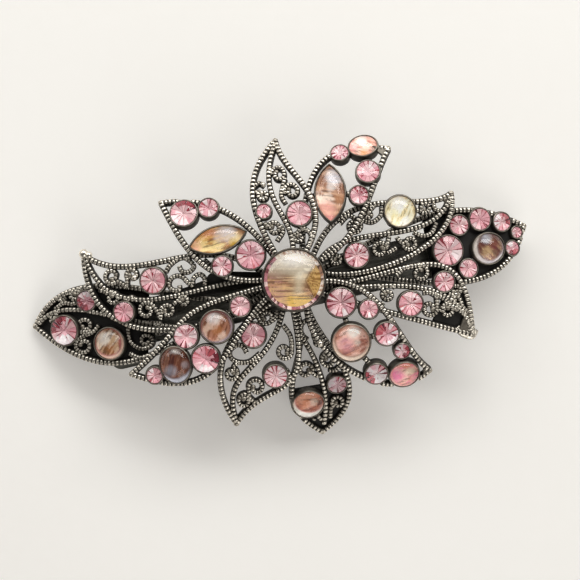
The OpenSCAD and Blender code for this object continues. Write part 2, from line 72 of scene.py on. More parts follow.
# For each leaf: the layer; the share of its length where a solid back or tip starts; two edges
# and the ribs, as Bezier curves; curls, as x, y, radius, first angle, way round and tail; arcs,
# which are more scrolls; links and a bent lip; a web, which is a filled outline; balls; and the
# stones: round ones as x, y and width, domed ones as x, y and two widths, boats as x, y,
# length, width and turn.
LEAVES = {
    "far_left_leaf": dict(
        layer=0, back=0.5,
        edges=[[(-6, 0.6), (-16, -8), (-41, 19), (-52.6, 2.6)],
               [(-6, -1.2), (-27, -5.5), (-38.5, -17), (-52.6, 2.6)]],
        ribs=[[(-6, -0.4), (-24, -15), (-42, 11), (-51.6, 3)]],
        curls=[(-42.6, 0.5, 1.45, 230, -1, [(-41, -1)]),
               (-43.8, -3.3, 1.65, 110, 1, [(-39.9, 0), (-41.3, -1.1), (-43, -1.4)]),
               (-31.4, -5.2, 1.4, 270, 1, [(-34.4, -1.8), (-34.5, -4.6), (-33, -6.4)]),
               (-43.3, 6.8, 0.95, 20, 1, [(-41.9, 8.1)]),
               (-48.6, 3.2, 0.6, 0, -1, [(-47.5, 4.6)]),
               (-28.6, -3.4, 1.1, 60, -1, [(-30.8, -1.6)])],
        arcs=[[(-47.9, 5.1), (-45.8, 5.9), (-44.2, 5.3), (-42.9, 5.7)],
              [(-46.6, 7.4), (-46.2, 6.3), (-45.2, 6.9)],
              [(-35.2, -7), (-33.4, -8.2), (-30.6, -8.2)]],
        round=[(-46.7, 0.5, 5.8), (-41.2, 5.3, 3.9)], domed=[(-38.5, -4.1, 6.2, 6.2)]),
    "left_leaf": dict(
        layer=1, tip=0.95,
        edges=[[(-4.9, 1.5), (-14, 15.5), (-31, 4.5), (-39.8, 14.2)],
               [(-5, -0.8), (-22, -8.5), (-43.5, -4.5), (-39.8, 14.2)]],
        ribs=[[(-5.1, 0.4), (-15, 6), (-37, -4.5), (-39.6, 13.4)]],
        curls=[(-35.2, 8.9, 1.5, 300, -1, [(-32.6, 6), (-33.8, 7.2)]),
               (-31.2, 8.2, 1.2, 200, -1, [(-32.7, 6.2)]),
               (-36, 4.6, 1.25, 120, -1, [(-38.2, 6.8), (-37.2, 6.2)]),
               (-29.9, 0.7, 1.6, 20, 1, [(-27.6, -1.5), (-28, 0.2)]),
               (-25.9, -0.4, 1.35, 190, -1, [(-27.6, -1.7)]),
               (-22.4, 0.8, 1.0, 150, -1, [(-24.4, 0.7)])],
        arcs=[[(-24.6, 7.2), (-23.7, 8.2), (-22.5, 8.9), (-21.4, 9.3)],
              [(-20.4, 9.3), (-19.6, 8.6), (-18.9, 7.6)],
              [(-21.7, 7.9), (-21.5, 6.9), (-20.7, 6.3), (-19.7, 6.4), (-18.9, 7.0), (-18.9, 7.6)],
              [(-20.9, 4.6), (-21.5, 5.5), (-22.3, 6), (-23.3, 6), (-24.1, 5.5), (-24.5, 4.6),
               (-24.2, 3.7), (-23.3, 3.2), (-22.6, 3.4), (-22.5, 4.1)],
              [(-21.2, 4.9), (-20.4, 3.9), (-19.9, 3.6), (-19.6, 4.6), (-18.9, 5.2), (-18, 5.3),
               (-17.4, 4.6), (-17.3, 3.7), (-17.7, 2.9)],
              [(-16.6, 8), (-15.4, 6.6), (-13.8, 6.4)], [(-33.6, 3.4), (-32.4, 4), (-31.4, 3.1)]],
        web=[(-25.8, 3.2), (-21.9, 3.4), (-17.4, 4), (-16.1, 5.1), (-12.3, 4.6), (-8.3, 3.6),
             (-5.6, 2.9), (-6.1, 0.6), (-17.1, 0.7), (-25.1, 1.6)],
        balls=[(-30.8, 7.6, 0.62), (-39.6, 14.4, 1.0), (-38.7, 13.9, 0.8)],
        round=[(-27.3, 6.2, 5), (-34.3, 1.4, 4)]),
    "upper_left_petal": dict(
        layer=2,
        edges=[[(-2.15, 3.7), (-6, 14), (-12, 20), (-22.4, 20.7)],
               [(-4.1, 1.2), (-17.5, 2), (-20, 11), (-22.4, 20.7)]],
        round=[(-18.4, 17.5, 5.3), (-13.4, 17.5, 3.8), (-7.3, 6.8, 5.6), (-13.3, 5.9, 3.9)],
        boat=[(-13, 11.2, 11.4, 5, 3)]),
    "top_petal": dict(
        layer=3,
        edges=[[(-1.6, 3.1), (-4.5, 12.5), (-7.5, 21), (2.6, 27.6)],
               [(1.7, 3.1), (13.5, 14), (2.5, 20), (2.6, 27.6)]],
        ribs=[[(0.3, 3.2), (4.5, 13), (-5, 15.5), (2.4, 27)]],
        curls=[(1.7, 20.9, 1.45, 160, -1, [(0.3, 22.6)]),
               (3.5, 17.1, 1.5, 180, -1, [(2.8, 19.8), (1.9, 18.3)]),
               (-2.2, 17.6, 1.0, 120, 1, [(-3.7, 18.4)]),
               (-1.6, 10.8, 1.3, 160, -1, [(-3.1, 12.4)]),
               (2.8, 8, 0.95, 90, 1, [(4.9, 8.9), (3.9, 9.7)])],
        arcs=[[(1.8, 18.2), (1.3, 16.6), (1.8, 15)],
              [(3.6, 9.6), (5.1, 8.6), (5.2, 7.2), (4.5, 6)],
              [(-0.2, 11.2), (0, 9.8), (-1.6, 8.2)], [(-3.6, 19.6), (-2.4, 20.1), (-1.6, 19.4)]],
        balls=[(-1.7, 19.5, 0.5)],
        round=[(-2.8, 14.5, 2.8), (4, 12.5, 4.8)]),
    "upper_right_petal": dict(
        layer=2, tip=0.93,
        edges=[[(2.4, 3.4), (5.5, 15), (7.5, 27.5), (24.2, 21.1)],
               [(3.6, 2.1), (15.5, 4), (18.5, 14.5), (24.2, 21.1)]],
        links=[[(13, 14.6), (15, 14)], [(6.6, 15.4), (8.8, 15.4)]],
        round=[(14.6, 22.2, 3.4), (19.2, 17.4, 4.5), (16.4, 13.4, 3.6)],
        domed=[(19.4, 22.4, 5.6, 4.6)], boat=[(10.9, 15, 11.6, 5.8, 79)]),
    "upper_right_leaf": dict(
        layer=1, tip=0.9,
        edges=[[(4.2, 2.9), (13.5, 18.5), (28, 6.5), (34.4, 9.8)],
               [(5.05, 0.6), (12, -3.8), (34, -2), (34.4, 9.8)]],
        ribs=[[(4.85, 1.6), (12, 10.5), (27.5, -1), (34, 9)]],
        curls=[(14.05, 7.8, 1.5, 60, -1, [(11.4, 8.8), (13.4, 10)]),
               (17.4, 9.4, 0.8, 60, 1, [(19.2, 11)]), (28.5, 8.2, 1.1, 200, 1, [(26.7, 8.1)]),
               (24.1, 2, 1.4, 170, 1, [(21.9, 3.7), (22.3, 2.7)]),
               (18.1, 2, 1.5, 0, 1, [(20.4, 4.2), (19.8, 2.8)]),
               (9.2, 2.2, 1.1, 130, 1, [(9.6, 4)])],
        arcs=[[(20.3, 10.2), (19.7, 8.6), (17.7, 7.7), (15.9, 8.6), (15.1, 9.4)],
              [(25.3, 3.9), (27, 2.8), (28.8, 3), (30.2, 4.8)], [(19.4, 1), (21.4, 1.7)],
              [(22.2, 5.9), (21.2, 6.6), (21, 7.6)], [(30.4, 8.6), (30.6, 7.4), (31.6, 6.8)]],
        round=[(13.3, 2, 4.8)], domed=[(23.6, 8.6, 6.1, 6.1)]),
    "far_right_leaf": dict(
        layer=0, back=0.5,
        edges=[[(6, 1), (22, 5), (34, 11.5), (47.2, 0.2)],
               [(6, -1.2), (16, 0.5), (38.5, -18.5), (47.2, 0.2)]],
        round=[(31.1, -1.2, 5.9), (34.4, 3.3, 3.8), (38.7, 3.5, 4.3), (42.9, 2, 3.6),
               (45.4, -0.7, 2.2), (43.8, -3.6, 2.8), (34.3, -5.6, 3.6)],
        domed=[(39, -2.6, 6.6, 6)]),
    "lower_right_leaf": dict(
        layer=1, back=0.72, tip=0.9,
        lip=[(29.6, -16.4), (30.5, -18), (32.1, -18.9), (33.2, -17.8)],
        edges=[[(4.7, -2.1), (20, -5.6), (36, 5), (32.3, -18.5)],
               [(3.9, -3.3), (14, -9), (23.5, -14), (32.3, -18.5)]],
        ribs=[[(4.4, -2.6), (13.5, -5.5), (31.5, -4.5), (32.2, -17.6)]],
        curls=[(24.8, -4.3, 1.6, 100, -1, [(20.1, -3.7), (22.2, -2.6)]),
               (17.5, -7.1, 1.1, 120, 1, [(16.3, -5.1)]),
               (25.1, -11.6, 1.45, 0, -1, [(26.9, -9.6)]),
               (28.3, -12.7, 1.25, 100, -1, [(26.8, -12.6)]),
               (30.9, -9.2, 1.0, 250, 1, [(29.8, -11.2)])],
        arcs=[[(18.6, -6.1), (19.2, -5.4)], [(16.4, -8.4), (15.4, -9)],
              [(25.6, -8.1), (27.6, -9.8), (29.3, -11.8), (31, -13.6), (31.9, -15.2),
               (31.8, -17.6)], [(30.5, -9.2), (31.3, -11.2), (31.5, -12.6), (32.2, -13.9)],
              [(29.4, -9.6), (30.3, -10.4), (30.2, -11.8)],
              [(24.4, -8.3), (25.8, -8.6), (27.2, -9.9)], [(29.8, -13.2), (30.8, -12.2)]],
        round=[(29, -7.1, 3.9), (21.5, -9.8, 4.8)]),
    "lower_right_petal": dict(
        layer=2, tip=0.95,
        edges=[[(3.95, -1.35), (18, -2.5), (16.5, -16.5), (22.3, -23.4)],
               [(2.4, -3.4), (-3.5, -12), (11.5, -30), (22.3, -23.4)]],
        links=[[(8.2, -9), (8.3, -11.5)], [(10.5, -7.6), (12, -8.3)],
               [(11.5, -14.5), (13.8, -14.4)], [(9.8, -17.6), (11, -19.6)]],
        balls=[(2.3, -13.4, 0.65)],
        round=[(8.1, -6.5, 5.7), (13.2, -9, 3.6), (15.6, -14.4, 4.6), (17.8, -18.3, 3),
               (11.8, -21.4, 4.4)], domed=[(17.2, -22.7, 5.8, 5.4), (8.3, -14.5, 7.4, 7.4)]),
    "bottom_right_petal": dict(
        layer=0, back=0.6,
        edges=[[(1.4, -5.95), (2, -15), (13, -24.5), (-1.3, -30.6)],
               [(-0.9, -6.05), (0.5, -17), (-12, -21.5), (-1.3, -30.6)]],
        ribs=[[(-0.8, -12), (1, -17), (2, -23), (-0.6, -29)]],
        curls=[(2.1, -13.1, 0.75, 150, 1, [(0.8, -9.6), (1.8, -10.2), (1.3, -11.6)]),
               (-1.8, -18, 1.5, 330, 1, [(0.3, -19.6)]),
               (3.1, -16.9, 1.4, 100, 1, [(4.7, -14.9)]),
               (3.1, -25.4, 1.2, 200, -1, [(0.9, -28), (1.5, -26.2)])],
        arcs=[[(1.7, -8.2), (-0.1, -8.7), (-0.95, -9.9), (-0.7, -11.3), (0, -12.2)],
              [(2.6, -18.9), (4, -19.2), (5, -18.6)],
              [(-2.6, -27.8), (-1.6, -27.2), (-0.8, -28.2)]],
        round=[(3.7, -21.8, 3.7)], domed=[(-2.8, -24.2, 6.2, 6.2)]),
    "bottom_left_petal": dict(
        layer=1,
        edges=[[(-4.1, -3.05), (-14, -6), (-22.5, -13.5), (-17.7, -25.1)],
               [(-1.5, -4.9), (-1.5, -26), (-9, -17), (-17.7, -25.1)]],
        ribs=[[(-2.95, -4.15), (-8.5, -17.5), (-18.5, -13.5), (-17.6, -24.4)]],
        curls=[(-7.1, -5.9, 1.45, 180, 1, [(-9, -4.6)]),
               (-16.4, -15.3, 1.3, 60, -1, [(-14.6, -13.4)]),
               (-12.2, -19, 1.6, 190, -1, [(-14.2, -21.4)]),
               (-15.1, -21, 1.25, 60, 1, [(-13.1, -21.9)]),
               (-5.1, -13.4, 1.5, 0, -1, [(-4.2, -8.2), (-3.3, -10.4), (-3.3, -12.2)])],
        arcs=[[(-12.5, -12), (-12.9, -10.7), (-14, -10.1), (-15.6, -10.9), (-15.7, -12.4),
               (-14.4, -13.5), (-12.3, -13.8), (-9.9, -12.7)],
              [(-6.2, -7), (-5.2, -6.4), (-4.8, -5.2)],
              [(-5.8, -19.6), (-5.2, -18.4), (-5.6, -17)]],
        round=[(-10.4, -8.9, 4.8), (-7.9, -17.5, 4.6)]),
    "lower_left_petal": dict(
        layer=2,
        edges=[[(-4.15, 0.05), (-28, -0.5), (-20, -3), (-35.7, -11)],
               [(-4, -1.2), (-16, -6.5), (-18, -22.5), (-35.7, -11)]],
        round=[(-11.6, -2.7, 3.9), (-23.4, -6.1, 4.7), (-20.6, -11.3, 5.4), (-31.2, -12.2, 3.2)],
        domed=[(-17.1, -5.6, 6.4, 6.4), (-26.7, -11.1, 6, 7.2)]),
}
# CAD node of the stones of each kind on each leaf
ROUND_NODES = {
    "far_left_leaf": "far_left_chatons", "left_leaf": "left_chatons",
    "upper_left_petal": "upper_left_chatons", "top_petal": "top_chatons",
    "upper_right_petal": "upper_right_chatons", "upper_right_leaf": "upper_right_leaf_chaton",
    "far_right_leaf": "far_right_chatons", "lower_right_leaf": "lower_right_leaf_chatons",
    "lower_right_petal": "lower_right_chatons", "bottom_right_petal": "bottom_right_chaton",
    "bottom_left_petal": "bottom_left_chatons", "lower_left_petal": "lower_left_chatons",
}
DOMED_NODES = {
    "far_left_leaf": "far_left_cabochon", "upper_right_leaf": "yellow_cabochon",
    "upper_right_petal": "peach_cabochon", "far_right_leaf": "far_right_cabochon",
    "lower_right_petal": "lower_right_cabochons", "bottom_right_petal": "bottom_cabochon",
    "lower_left_petal": "lower_left_cabochons",
}
BOAT_NODES = {"upper_left_petal": "left_marquise", "upper_right_petal": "right_marquise"}


# ---------------------------------------------------------------- the drooping surface
def outwards(x, y):
    """How far out a point is, towards the ends and towards the sides: 0 on the flat middle."""
    return (np.maximum(0, np.abs(x) - FLAT_R) / (END_X - FLAT_R),
            np.maximum(0, np.abs(y) - FLAT_R) / (SIDE_Y - FLAT_R))


def seat(x, y, layer):
    """Height of a layer's surface."""
    ox, oy = outwards(x, y)
    droop = END_DROOP * ox ** END_POWER + SIDE_DROOP * oy ** SIDE_POWER
    return LEAF_Z + layer * LAYER_RISE - droop


def normals_at(x, y):
    ox, oy = outwards(x, y)
    sx = -np.sign(x) * END_DROOP * END_POWER / (END_X - FLAT_R) * ox ** (END_POWER - 1)
    sy = -np.sign(y) * SIDE_DROOP * SIDE_POWER / (SIDE_Y - FLAT_R) * oy ** (SIDE_POWER - 1)
    n = np.stack([-sx, -sy, np.ones_like(sx)], -1)
    return n / np.linalg.norm(n, axis=-1, keepdims=True)


def on_surface(p, layer):
    """Points of a flat outline or path raised to the surface, with the normals there."""
    x, y = p[:, 0], p[:, 1]
    return np.stack([x, y, seat(x, y, layer)], 1), normals_at(x, y)


def placed(points, x, y, layer):
    """Points of a stone or cup, from its own seat to the row frame, tipped with the surface."""
    n = Vector(normals_at(np.float64(x), np.float64(y)))
    tip = np.array(Vector((0, 0, 1)).rotation_difference(n).to_matrix())
    return points @ tip.T + np.array([x, y, float(seat(x, y, layer))])


def picture_axes(x, y):
    """A point's place to the right and up in the picture."""
    c, s = math.cos(TURN), math.sin(TURN)
    return x * c - y * s, x * s + y * c


# ---------------------------------------------------------------- mesh building
class Build:
    """Collects vertices, faces and the attributes that the materials read."""

    def __init__(self):
        self.v, self.f, self.shine, self.tint, self.slots, self.smooth = [], [], [], [], [], []
        self.n = 0

    def add(self, verts, faces, shine=0.5, tint=(0.5, 0.5, 0.5), slot=0, smooth=True):
        verts = np.asarray(verts, float)
        k = len(verts)
        self.v.append(verts)
        self.f += [tuple(int(i) + self.n for i in f) for f in faces]
        self.shine.append(np.broadcast_to(np.asarray(shine, float), (k,)))
        self.tint.append(np.broadcast_to(np.asarray(tint, float), (k, 3)))
        self.slots += [slot] * len(faces)
        self.smooth += [smooth] * len(faces)
        self.n += k

    def make(self, name, materials, slot, replaces, body=BODY):
        mesh = bpy.data.meshes.new(name)
        v = np.concatenate(self.v) * MM
        mesh.from_pydata(v.tolist(), [], self.f)
        shine = mesh.attributes.new("shine", "FLOAT", "POINT")
        shine.data.foreach_set("value", np.concatenate(self.shine).astype(np.float32))
        tint = mesh.attributes.new("tint", "FLOAT_COLOR", "POINT")
        rgb = np.concatenate(self.tint)
        rgba = np.concatenate([rgb, np.ones((len(rgb), 1))], 1).astype(np.float32)
        tint.data.foreach_set("color", rgba.ravel())
        mesh.polygons.foreach_set("material_index", self.slots)
        mesh.polygons.foreach_set("use_smooth", self.smooth)
        for m in materials:
            mesh.materials.append(m)
        mesh.validate()
        mesh.update()
        obj = bpy.data.objects.new(name, mesh)
        bpy.context.scene.collection.objects.link(obj)
        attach(obj, body)
        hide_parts(*replaces)


def grid_faces(rows, cols, closed=True):
    """Quads between rows of points, where each row is a ring if closed."""
    faces = []
    for i in range(rows - 1):
        a, b = i * cols, (i + 1) * cols
        for j in range(cols if closed else cols - 1):
            k = (j + 1) % cols
            faces.append((a + j, a + k, b + k, b + j))
    return faces


def first_cap(cols):
    return [tuple(range(cols - 1, -1, -1))]


def last_cap(rows, cols):
    return [tuple(range((rows - 1) * cols, rows * cols))]


def tube_faces(rows, cols):
    return grid_faces(rows, cols) + last_cap(rows, cols) + first_cap(cols)


def fan(rows, cols):
    """Triangles from the last row of a grid to the one point after it."""
    last = (rows - 1) * cols
    return [(last + i, last + (i + 1) % cols, rows * cols) for i in range(cols)]


def ring(n, radius, z, off=0.0, spin=0.0):
    a = spin + (np.arange(n) + off) * 2 * np.pi / n
    return np.stack([radius * np.cos(a), radius * np.sin(a), np.full(n, z)], 1)


def flat(p, z):
    """The points of an outline, at one height."""
    return np.concatenate([p, np.full((len(p), 1), z)], 1)


# ---------------------------------------------------------------- wires and beads
# Half of a wire's section, from its foot to its crest: across and up, as shares of its half
# width and height, with how bright the point is rubbed and how far a groove cuts it
HALF = [(1.16, None, 0.03, 0), (1.24, 0.1, 0.1, 0), (1.14, 0.45, 0.22, 0),
        (1.0, 0.66, 0.42, 0.45), (0.9, 0.88, 0.96, 0.95), (0.5, 0.985, 1.06, 1.0),
        (0.0, 1.0, 1.04, 1.0)]
SECTION = [(-a, h, g, c) for a, h, g, c in HALF[:-1]] + HALF[-1:] + HALF[-2::-1]
RIDGE_FROM, RIDGE_OVER = 0.12, 0.36  # share of the wave where a groove ends, and the slope's


def cubic(e, t):
    """Points of a Bezier curve."""
    t = np.asarray(t)[:, None]
    e = np.array(e, float)
    return ((1 - t) ** 3 * e[0] + 3 * (1 - t) ** 2 * t * e[1]
            + 3 * (1 - t) * t * t * e[2] + t ** 3 * e[3])


def smooth_path(points, steps=12):
    """Catmull-Rom curve through the points."""
    p = np.array(points, float)
    p = np.concatenate([[2 * p[0] - p[1]], p, [2 * p[-1] - p[-2]]])
    t = np.linspace(0, 1, steps, endpoint=False)[:, None]
    out = []
    for a, b, c, d in zip(p[:-3], p[1:-2], p[2:-1], p[3:]):
        out.append(0.5 * (2 * b + (c - a) * t + (2 * a - 5 * b + 4 * c - d) * t * t
                          + (3 * b - a - 3 * c + d) * t ** 3))
    return np.concatenate(out + [p[-2:-1]])


def curl_path(x, y, r, start, way, tail):
    """A tail that flows into a spiral, which closes to two fifths of its radius."""
    turns = np.linspace(0, 1, 15)
    angle = np.radians(start + way * CURL_TURN * turns)
    radius = r * (1 - 0.62 * turns ** 1.4)
    spiral = np.stack([x + radius * np.cos(angle), y + radius * np.sin(angle)], 1)
    return smooth_path(tail + spiral.tolist(), 6)


def resampled(path, step):
    """Evenly spaced points of a path, with how far along it each is."""
    seg = np.linalg.norm(np.diff(path, axis=0), axis=1)
    s = np.concatenate([[0], np.cumsum(seg)])
    n = max(3, int(round(s[-1] / step)) + 1)
    at = np.linspace(0, s[-1], n)
    return np.stack([np.interp(at, s, path[:, 0]), np.interp(at, s, path[:, 1])], 1), at


def boat_radius(length, width):
    """Radius of the two arcs of a boat-shaped outline."""
    return (length * length / 4 + width * width / 4) / width


def under_stones(p, leaf):
    """Which points lie under a stone of the leaf or its cup's wall."""
    grow = SEAT_GAP + CUP_WALL * 0.6
    inside = np.zeros(len(p), bool)
    for x, y, *size in leaf.get("round", []) + leaf.get("domed", []):
        rx, ry = size[0] / 2 + grow, size[-1] / 2 + grow
        inside |= ((p[:, 0] - x) / rx) ** 2 + ((p[:, 1] - y) / ry) ** 2 < 1
    for x, y, length, w, turn in leaf.get("boat", []):
        r = boat_radius(length, w)
        c, s = math.cos(math.radians(turn)), math.sin(math.radians(turn))
        a = (p[:, 0] - x) * c + (p[:, 1] - y) * s
        d = -(p[:, 0] - x) * s + (p[:, 1] - y) * c
        off = r - w / 2
        inside |= (np.hypot(a, d - off) < r + grow) & (np.hypot(a, d + off) < r + grow)
    return inside


def wire(b, path, leaf, width, height=WALL_H, pitch=0.78, cut=0.22, skirt=0.35, lift=0.0,
         phase=0.0, groove=0.1, rub=1.0):
    """A cast wire along a path: upright walls below, a rounded top cut by cross grooves.

    pitch and cut are the grooves' spacing and depth, skirt and lift how far the wire goes below
    the surface and stands above its height, and groove and rub how bright its grooves and
    ridges are.
    """
    p, s = resampled(np.asarray(path, float), pitch / 7)
    height = np.where(under_stones(p, leaf), SEAT_Z0 - UNDER_STONE, height)
    centre, n = on_surface(p, leaf["layer"])
    t = np.gradient(centre, axis=0)
    t /= np.linalg.norm(t, axis=1, keepdims=True)
    side = np.cross(t, n)
    side /= np.linalg.norm(side, axis=1, keepdims=True)
    wave = 0.5 + 0.5 * np.cos(2 * np.pi * (s / pitch + phase))
    ridge = np.clip((wave - RIDGE_FROM) / RIDGE_OVER, 0, 1)
    ridge = ridge * ridge * (3 - 2 * ridge)
    wobble = 0.06 * np.sin(s * 1.7 + phase * 9) + 0.04 * np.sin(s * 4.1 + phase * 5)
    rows, shines = [], []
    for a, h, bright, c in SECTION:
        up = -skirt if h is None else h * (height + wobble * 0.5)
        up = up + lift - cut * c * (1 - ridge)
        across = a * width / 2 * (1 - 0.14 * c * (1 - ridge))
        rows.append(centre + side * across[:, None] + n * up[:, None])
        rubbed = c * (groove + (1 - groove) * ridge) + 1 - c
        shines.append(rub * bright * rubbed * (1 + wobble * 2))
    v = np.stack(rows, 1).reshape(-1, 3)
    shine = np.clip(np.stack(shines, 1).reshape(-1), 0, 1)
    m = len(SECTION)
    b.add(v, grid_faces(len(s), m) + first_cap(m) + last_cap(len(s), m), shine)


def ball(b, x, y, layer, up, r, shine):
    """A bead, its middle at a height above the surface."""
    rings, cols = 8, 14
    points = []
    for i in range(1, rings):
        a = math.pi * i / rings
        for j in range(cols):
            t = 2 * math.pi * j / cols
            points.append((math.sin(a) * math.cos(t) * r, math.sin(a) * math.sin(t) * r,
                           math.cos(a) * r))
    n = len(points)
    centre = placed(np.array([[0, 0, up]]), x, y, layer)[0]
    faces = [f[::-1] for f in grid_faces(rings - 1, cols)]
    for j in range(cols):
        k = (j + 1) % cols
        faces.append((n, j, k))
        faces.append((n + 1, (rings - 2) * cols + k, (rings - 2) * cols + j))
    b.add(np.array(points + [(0, 0, r), (0, 0, -r)]) + centre, faces, shine)


# ---------------------------------------------------------------- outlines of stones, and cups
def ellipse_outline(rx, ry, n=48):
    """Points of the outline, with the directions that face away from it."""
    a = np.linspace(0, 2 * np.pi, n, endpoint=False)
    p = np.stack([rx * np.cos(a), ry * np.sin(a)], 1)
    m = np.stack([np.cos(a) / rx, np.sin(a) / ry], 1)
    return p, m / np.linalg.norm(m, axis=1, keepdims=True)


def boat_outline(length, w, turn, n=28):
    r = boat_radius(length, w)
    half = math.asin(length / 2 / r)
    a = np.linspace(-half, half, n, endpoint=False)
    upper = np.stack([-r * np.sin(a), r * np.cos(a) - (r - w / 2)], 1)
    un = np.stack([-np.sin(a), np.cos(a)], 1)
    p = np.concatenate([upper, -upper])
    m = np.concatenate([un, -un])
    m[0] = (1, 0)
    m[n] = (-1, 0)
    c, s = math.cos(math.radians(turn)), math.sin(math.radians(turn))
    rot = np.array([[c, s], [-s, c]])
    return p @ rot, m @ rot


def cup(b, x, y, layer, outline, height, low=CUP_FOOT):
    """Wall and floor of a stone's cup, with a thin bright lip."""
    p, m = outline
    # out from the stone, up, and how bright
    profile = [(CUP_WALL - 0.03, low, 0.12), (CUP_WALL, low * 0.2, 0.2),
               (CUP_WALL + 0.02, height * 0.45, 0.34), (CUP_WALL - 0.05, height - 0.42, 0.36),
               (CUP_WALL - 0.1, height - 0.2, 0.42), (CUP_WALL - 0.2, height - 0.04, 0.62),
               (0.06, height - 0.04, 0.5), (0.0, height - 0.12, 0.2), (0.0, SEAT_Z0, 0.05)]
    rows = [flat(p + m * (SEAT_GAP + off), z) for off, z, _ in profile]
    shine = np.repeat([g for _, _, g in profile], len(p))
    b.add(placed(np.concatenate(rows), x, y, layer), tube_faces(len(profile), len(p)), shine)


def plate(b, leaf, start, high, low, shine):
    """Solid metal between the two edges, from part of the way along to the tip."""
    rows, cols = 26, 11
    t = start + (1 - start) * np.linspace(0, 0.985, rows)
    one, two = cubic(leaf["edges"][0], t), cubic(leaf["edges"][1], t)
    share = np.linspace(0, 1, cols)[None, :, None]
    p = (one[:, None] * (1 - share) + two[:, None] * share).reshape(-1, 2)
    base, n = on_surface(p, leaf["layer"])
    faces = grid_faces(rows, cols, False)
    k = rows * cols
    faces += [tuple(i + k for i in reversed(f)) for f in faces]
    rim = (list(range(cols)) + [i * cols + cols - 1 for i in range(1, rows)]
           + [(rows - 1) * cols + j for j in range(cols - 2, -1, -1)]
           + [i * cols for i in range(rows - 2, 0, -1)])
    for i, a in enumerate(rim):
        c = rim[(i + 1) % len(rim)]
        faces.append((a, a + k, c + k, c))
    b.add(np.concatenate([base + n * high, base + n * low]), faces, shine)


def web(b, leaf):
    """Thin dark web of metal inside an outline, just under the wires."""
    p = resampled(np.array(leaf["web"] + leaf["web"][:1], float), 1.0)[0][:-1]
    base, n = on_surface(p, leaf["layer"])
    k = len(p)
    faces = first_cap(k) + last_cap(2, k)
    faces += [(i, (i + 1) % k, k + (i + 1) % k, k + i) for i in range(k)]
    b.add(np.concatenate([base - n * 0.1, base - n * 0.3]), faces, 0.2, smooth=False)


# ---------------------------------------------------------------- materials
def new_material(name):
    m = bpy.data.materials.new(name)
    m.use_nodes = True
    nt = m.node_tree
    return m, nt, nt.nodes["Principled BSDF"]


def add(nt, kind, **values):
    node = nt.nodes.new(kind)
    for k, v in values.items():
        setattr(node, k, v)
    return node


def put(nt, node, **values):
    """Fills sockets by name, with _ for a space, from numbers or other nodes' outputs."""
    for k, v in values.items():
        socket = node.inputs[k.replace("_", " ")]
        if isinstance(v, bpy.types.NodeSocket):
            nt.links.new(v, socket)
        else:
            socket.default_value = v


def ramp(nt, source, *stops):
    """Colour ramp, where a stop may be one number, for grey."""
    r = add(nt, "ShaderNodeValToRGB")
    while len(r.color_ramp.elements) < len(stops):
        r.color_ramp.elements.new(0.5)
    for e, (pos, colour) in zip(r.color_ramp.elements, stops):
        e.position = pos
        e.color = (*(colour if isinstance(colour, tuple) else (colour,) * 3), 1)
    nt.links.new(source, r.inputs["Fac"])
    return r.outputs["Color"]


def noise_out(nt, scale, detail=3.0, rough=0.55, stretch=None):
    where = add(nt, "ShaderNodeTexCoord").outputs["Object"]
    tex = add(nt, "ShaderNodeTexNoise")
    if stretch:
        mapping = add(nt, "ShaderNodeMapping")
        put(nt, mapping, Scale=stretch, Vector=where)
        where = mapping.outputs["Vector"]
    put(nt, tex, Scale=scale, Detail=detail, Roughness=rough, Vector=where)
    return tex.outputs["Fac"]


def math_node(nt, op, a, b, clamp=False):
    m = add(nt, "ShaderNodeMath", operation=op, use_clamp=clamp)
    for socket, value in zip(m.inputs, (a, b)):
        if isinstance(value, (int, float)):
            socket.default_value = value
        else:
            nt.links.new(value, socket)
    return m.outputs[0]


def scaled(nt, value, by, plus):
    return math_node(nt, "ADD", math_node(nt, "MULTIPLY", value, by), plus)


def bump(nt, bsdf, height, strength, distance):
    n = add(nt, "ShaderNodeBump")
    put(nt, n, Strength=strength, Distance=distance, Height=height)
    put(nt, bsdf, Normal=n.outputs["Normal"])


def antique_silver():
    m, nt, p = new_material("antique_silver")
    a = add(nt, "ShaderNodeAttribute", attribute_name="shine")
    grain = noise_out(nt, 1400, 4)
    blotch = noise_out(nt, 260, 2)
    worn = math_node(nt, "MULTIPLY", a.outputs["Fac"], scaled(nt, grain, 0.9, 0.55))
    worn = math_node(nt, "MULTIPLY", worn, scaled(nt, blotch, 0.5, 0.75), clamp=True)
    put(nt, p,
        Base_Color=ramp(nt, worn, (0.0, (0.008, 0.007, 0.006)), (0.2, (0.045, 0.041, 0.036)),
                        (0.5, (0.21, 0.187, 0.155)), (0.78, (0.58, 0.53, 0.45)),
                        (1.0, (0.96, 0.90, 0.79))),
        Metallic=ramp(nt, worn, (0.0, 0.15), (0.35, 0.9), (1.0, 1.0)),
        Roughness=ramp(nt, worn, (0.0, 0.62), (0.5, 0.42), (1.0, 0.27)))
    bump(nt, p, grain, 0.35, 0.00006)
    return m


def brushed_steel():
    m, nt, p = new_material("brushed_steel")
    lines = noise_out(nt, 240, 5, 0.7, (0.12, 6.0, 6.0))
    blotch = noise_out(nt, 130, 3)
    put(nt, p, Metallic=0.85,
        Base_Color=ramp(nt, lines, (0.3, (0.17, 0.165, 0.14)), (0.5, (0.44, 0.43, 0.38)),
                        (0.7, (0.86, 0.84, 0.77))),
        Roughness=ramp(nt, blotch, (0.3, 0.24), (0.75, 0.44)))
    bump(nt, p, lines, 0.12, 0.00003)
    return m


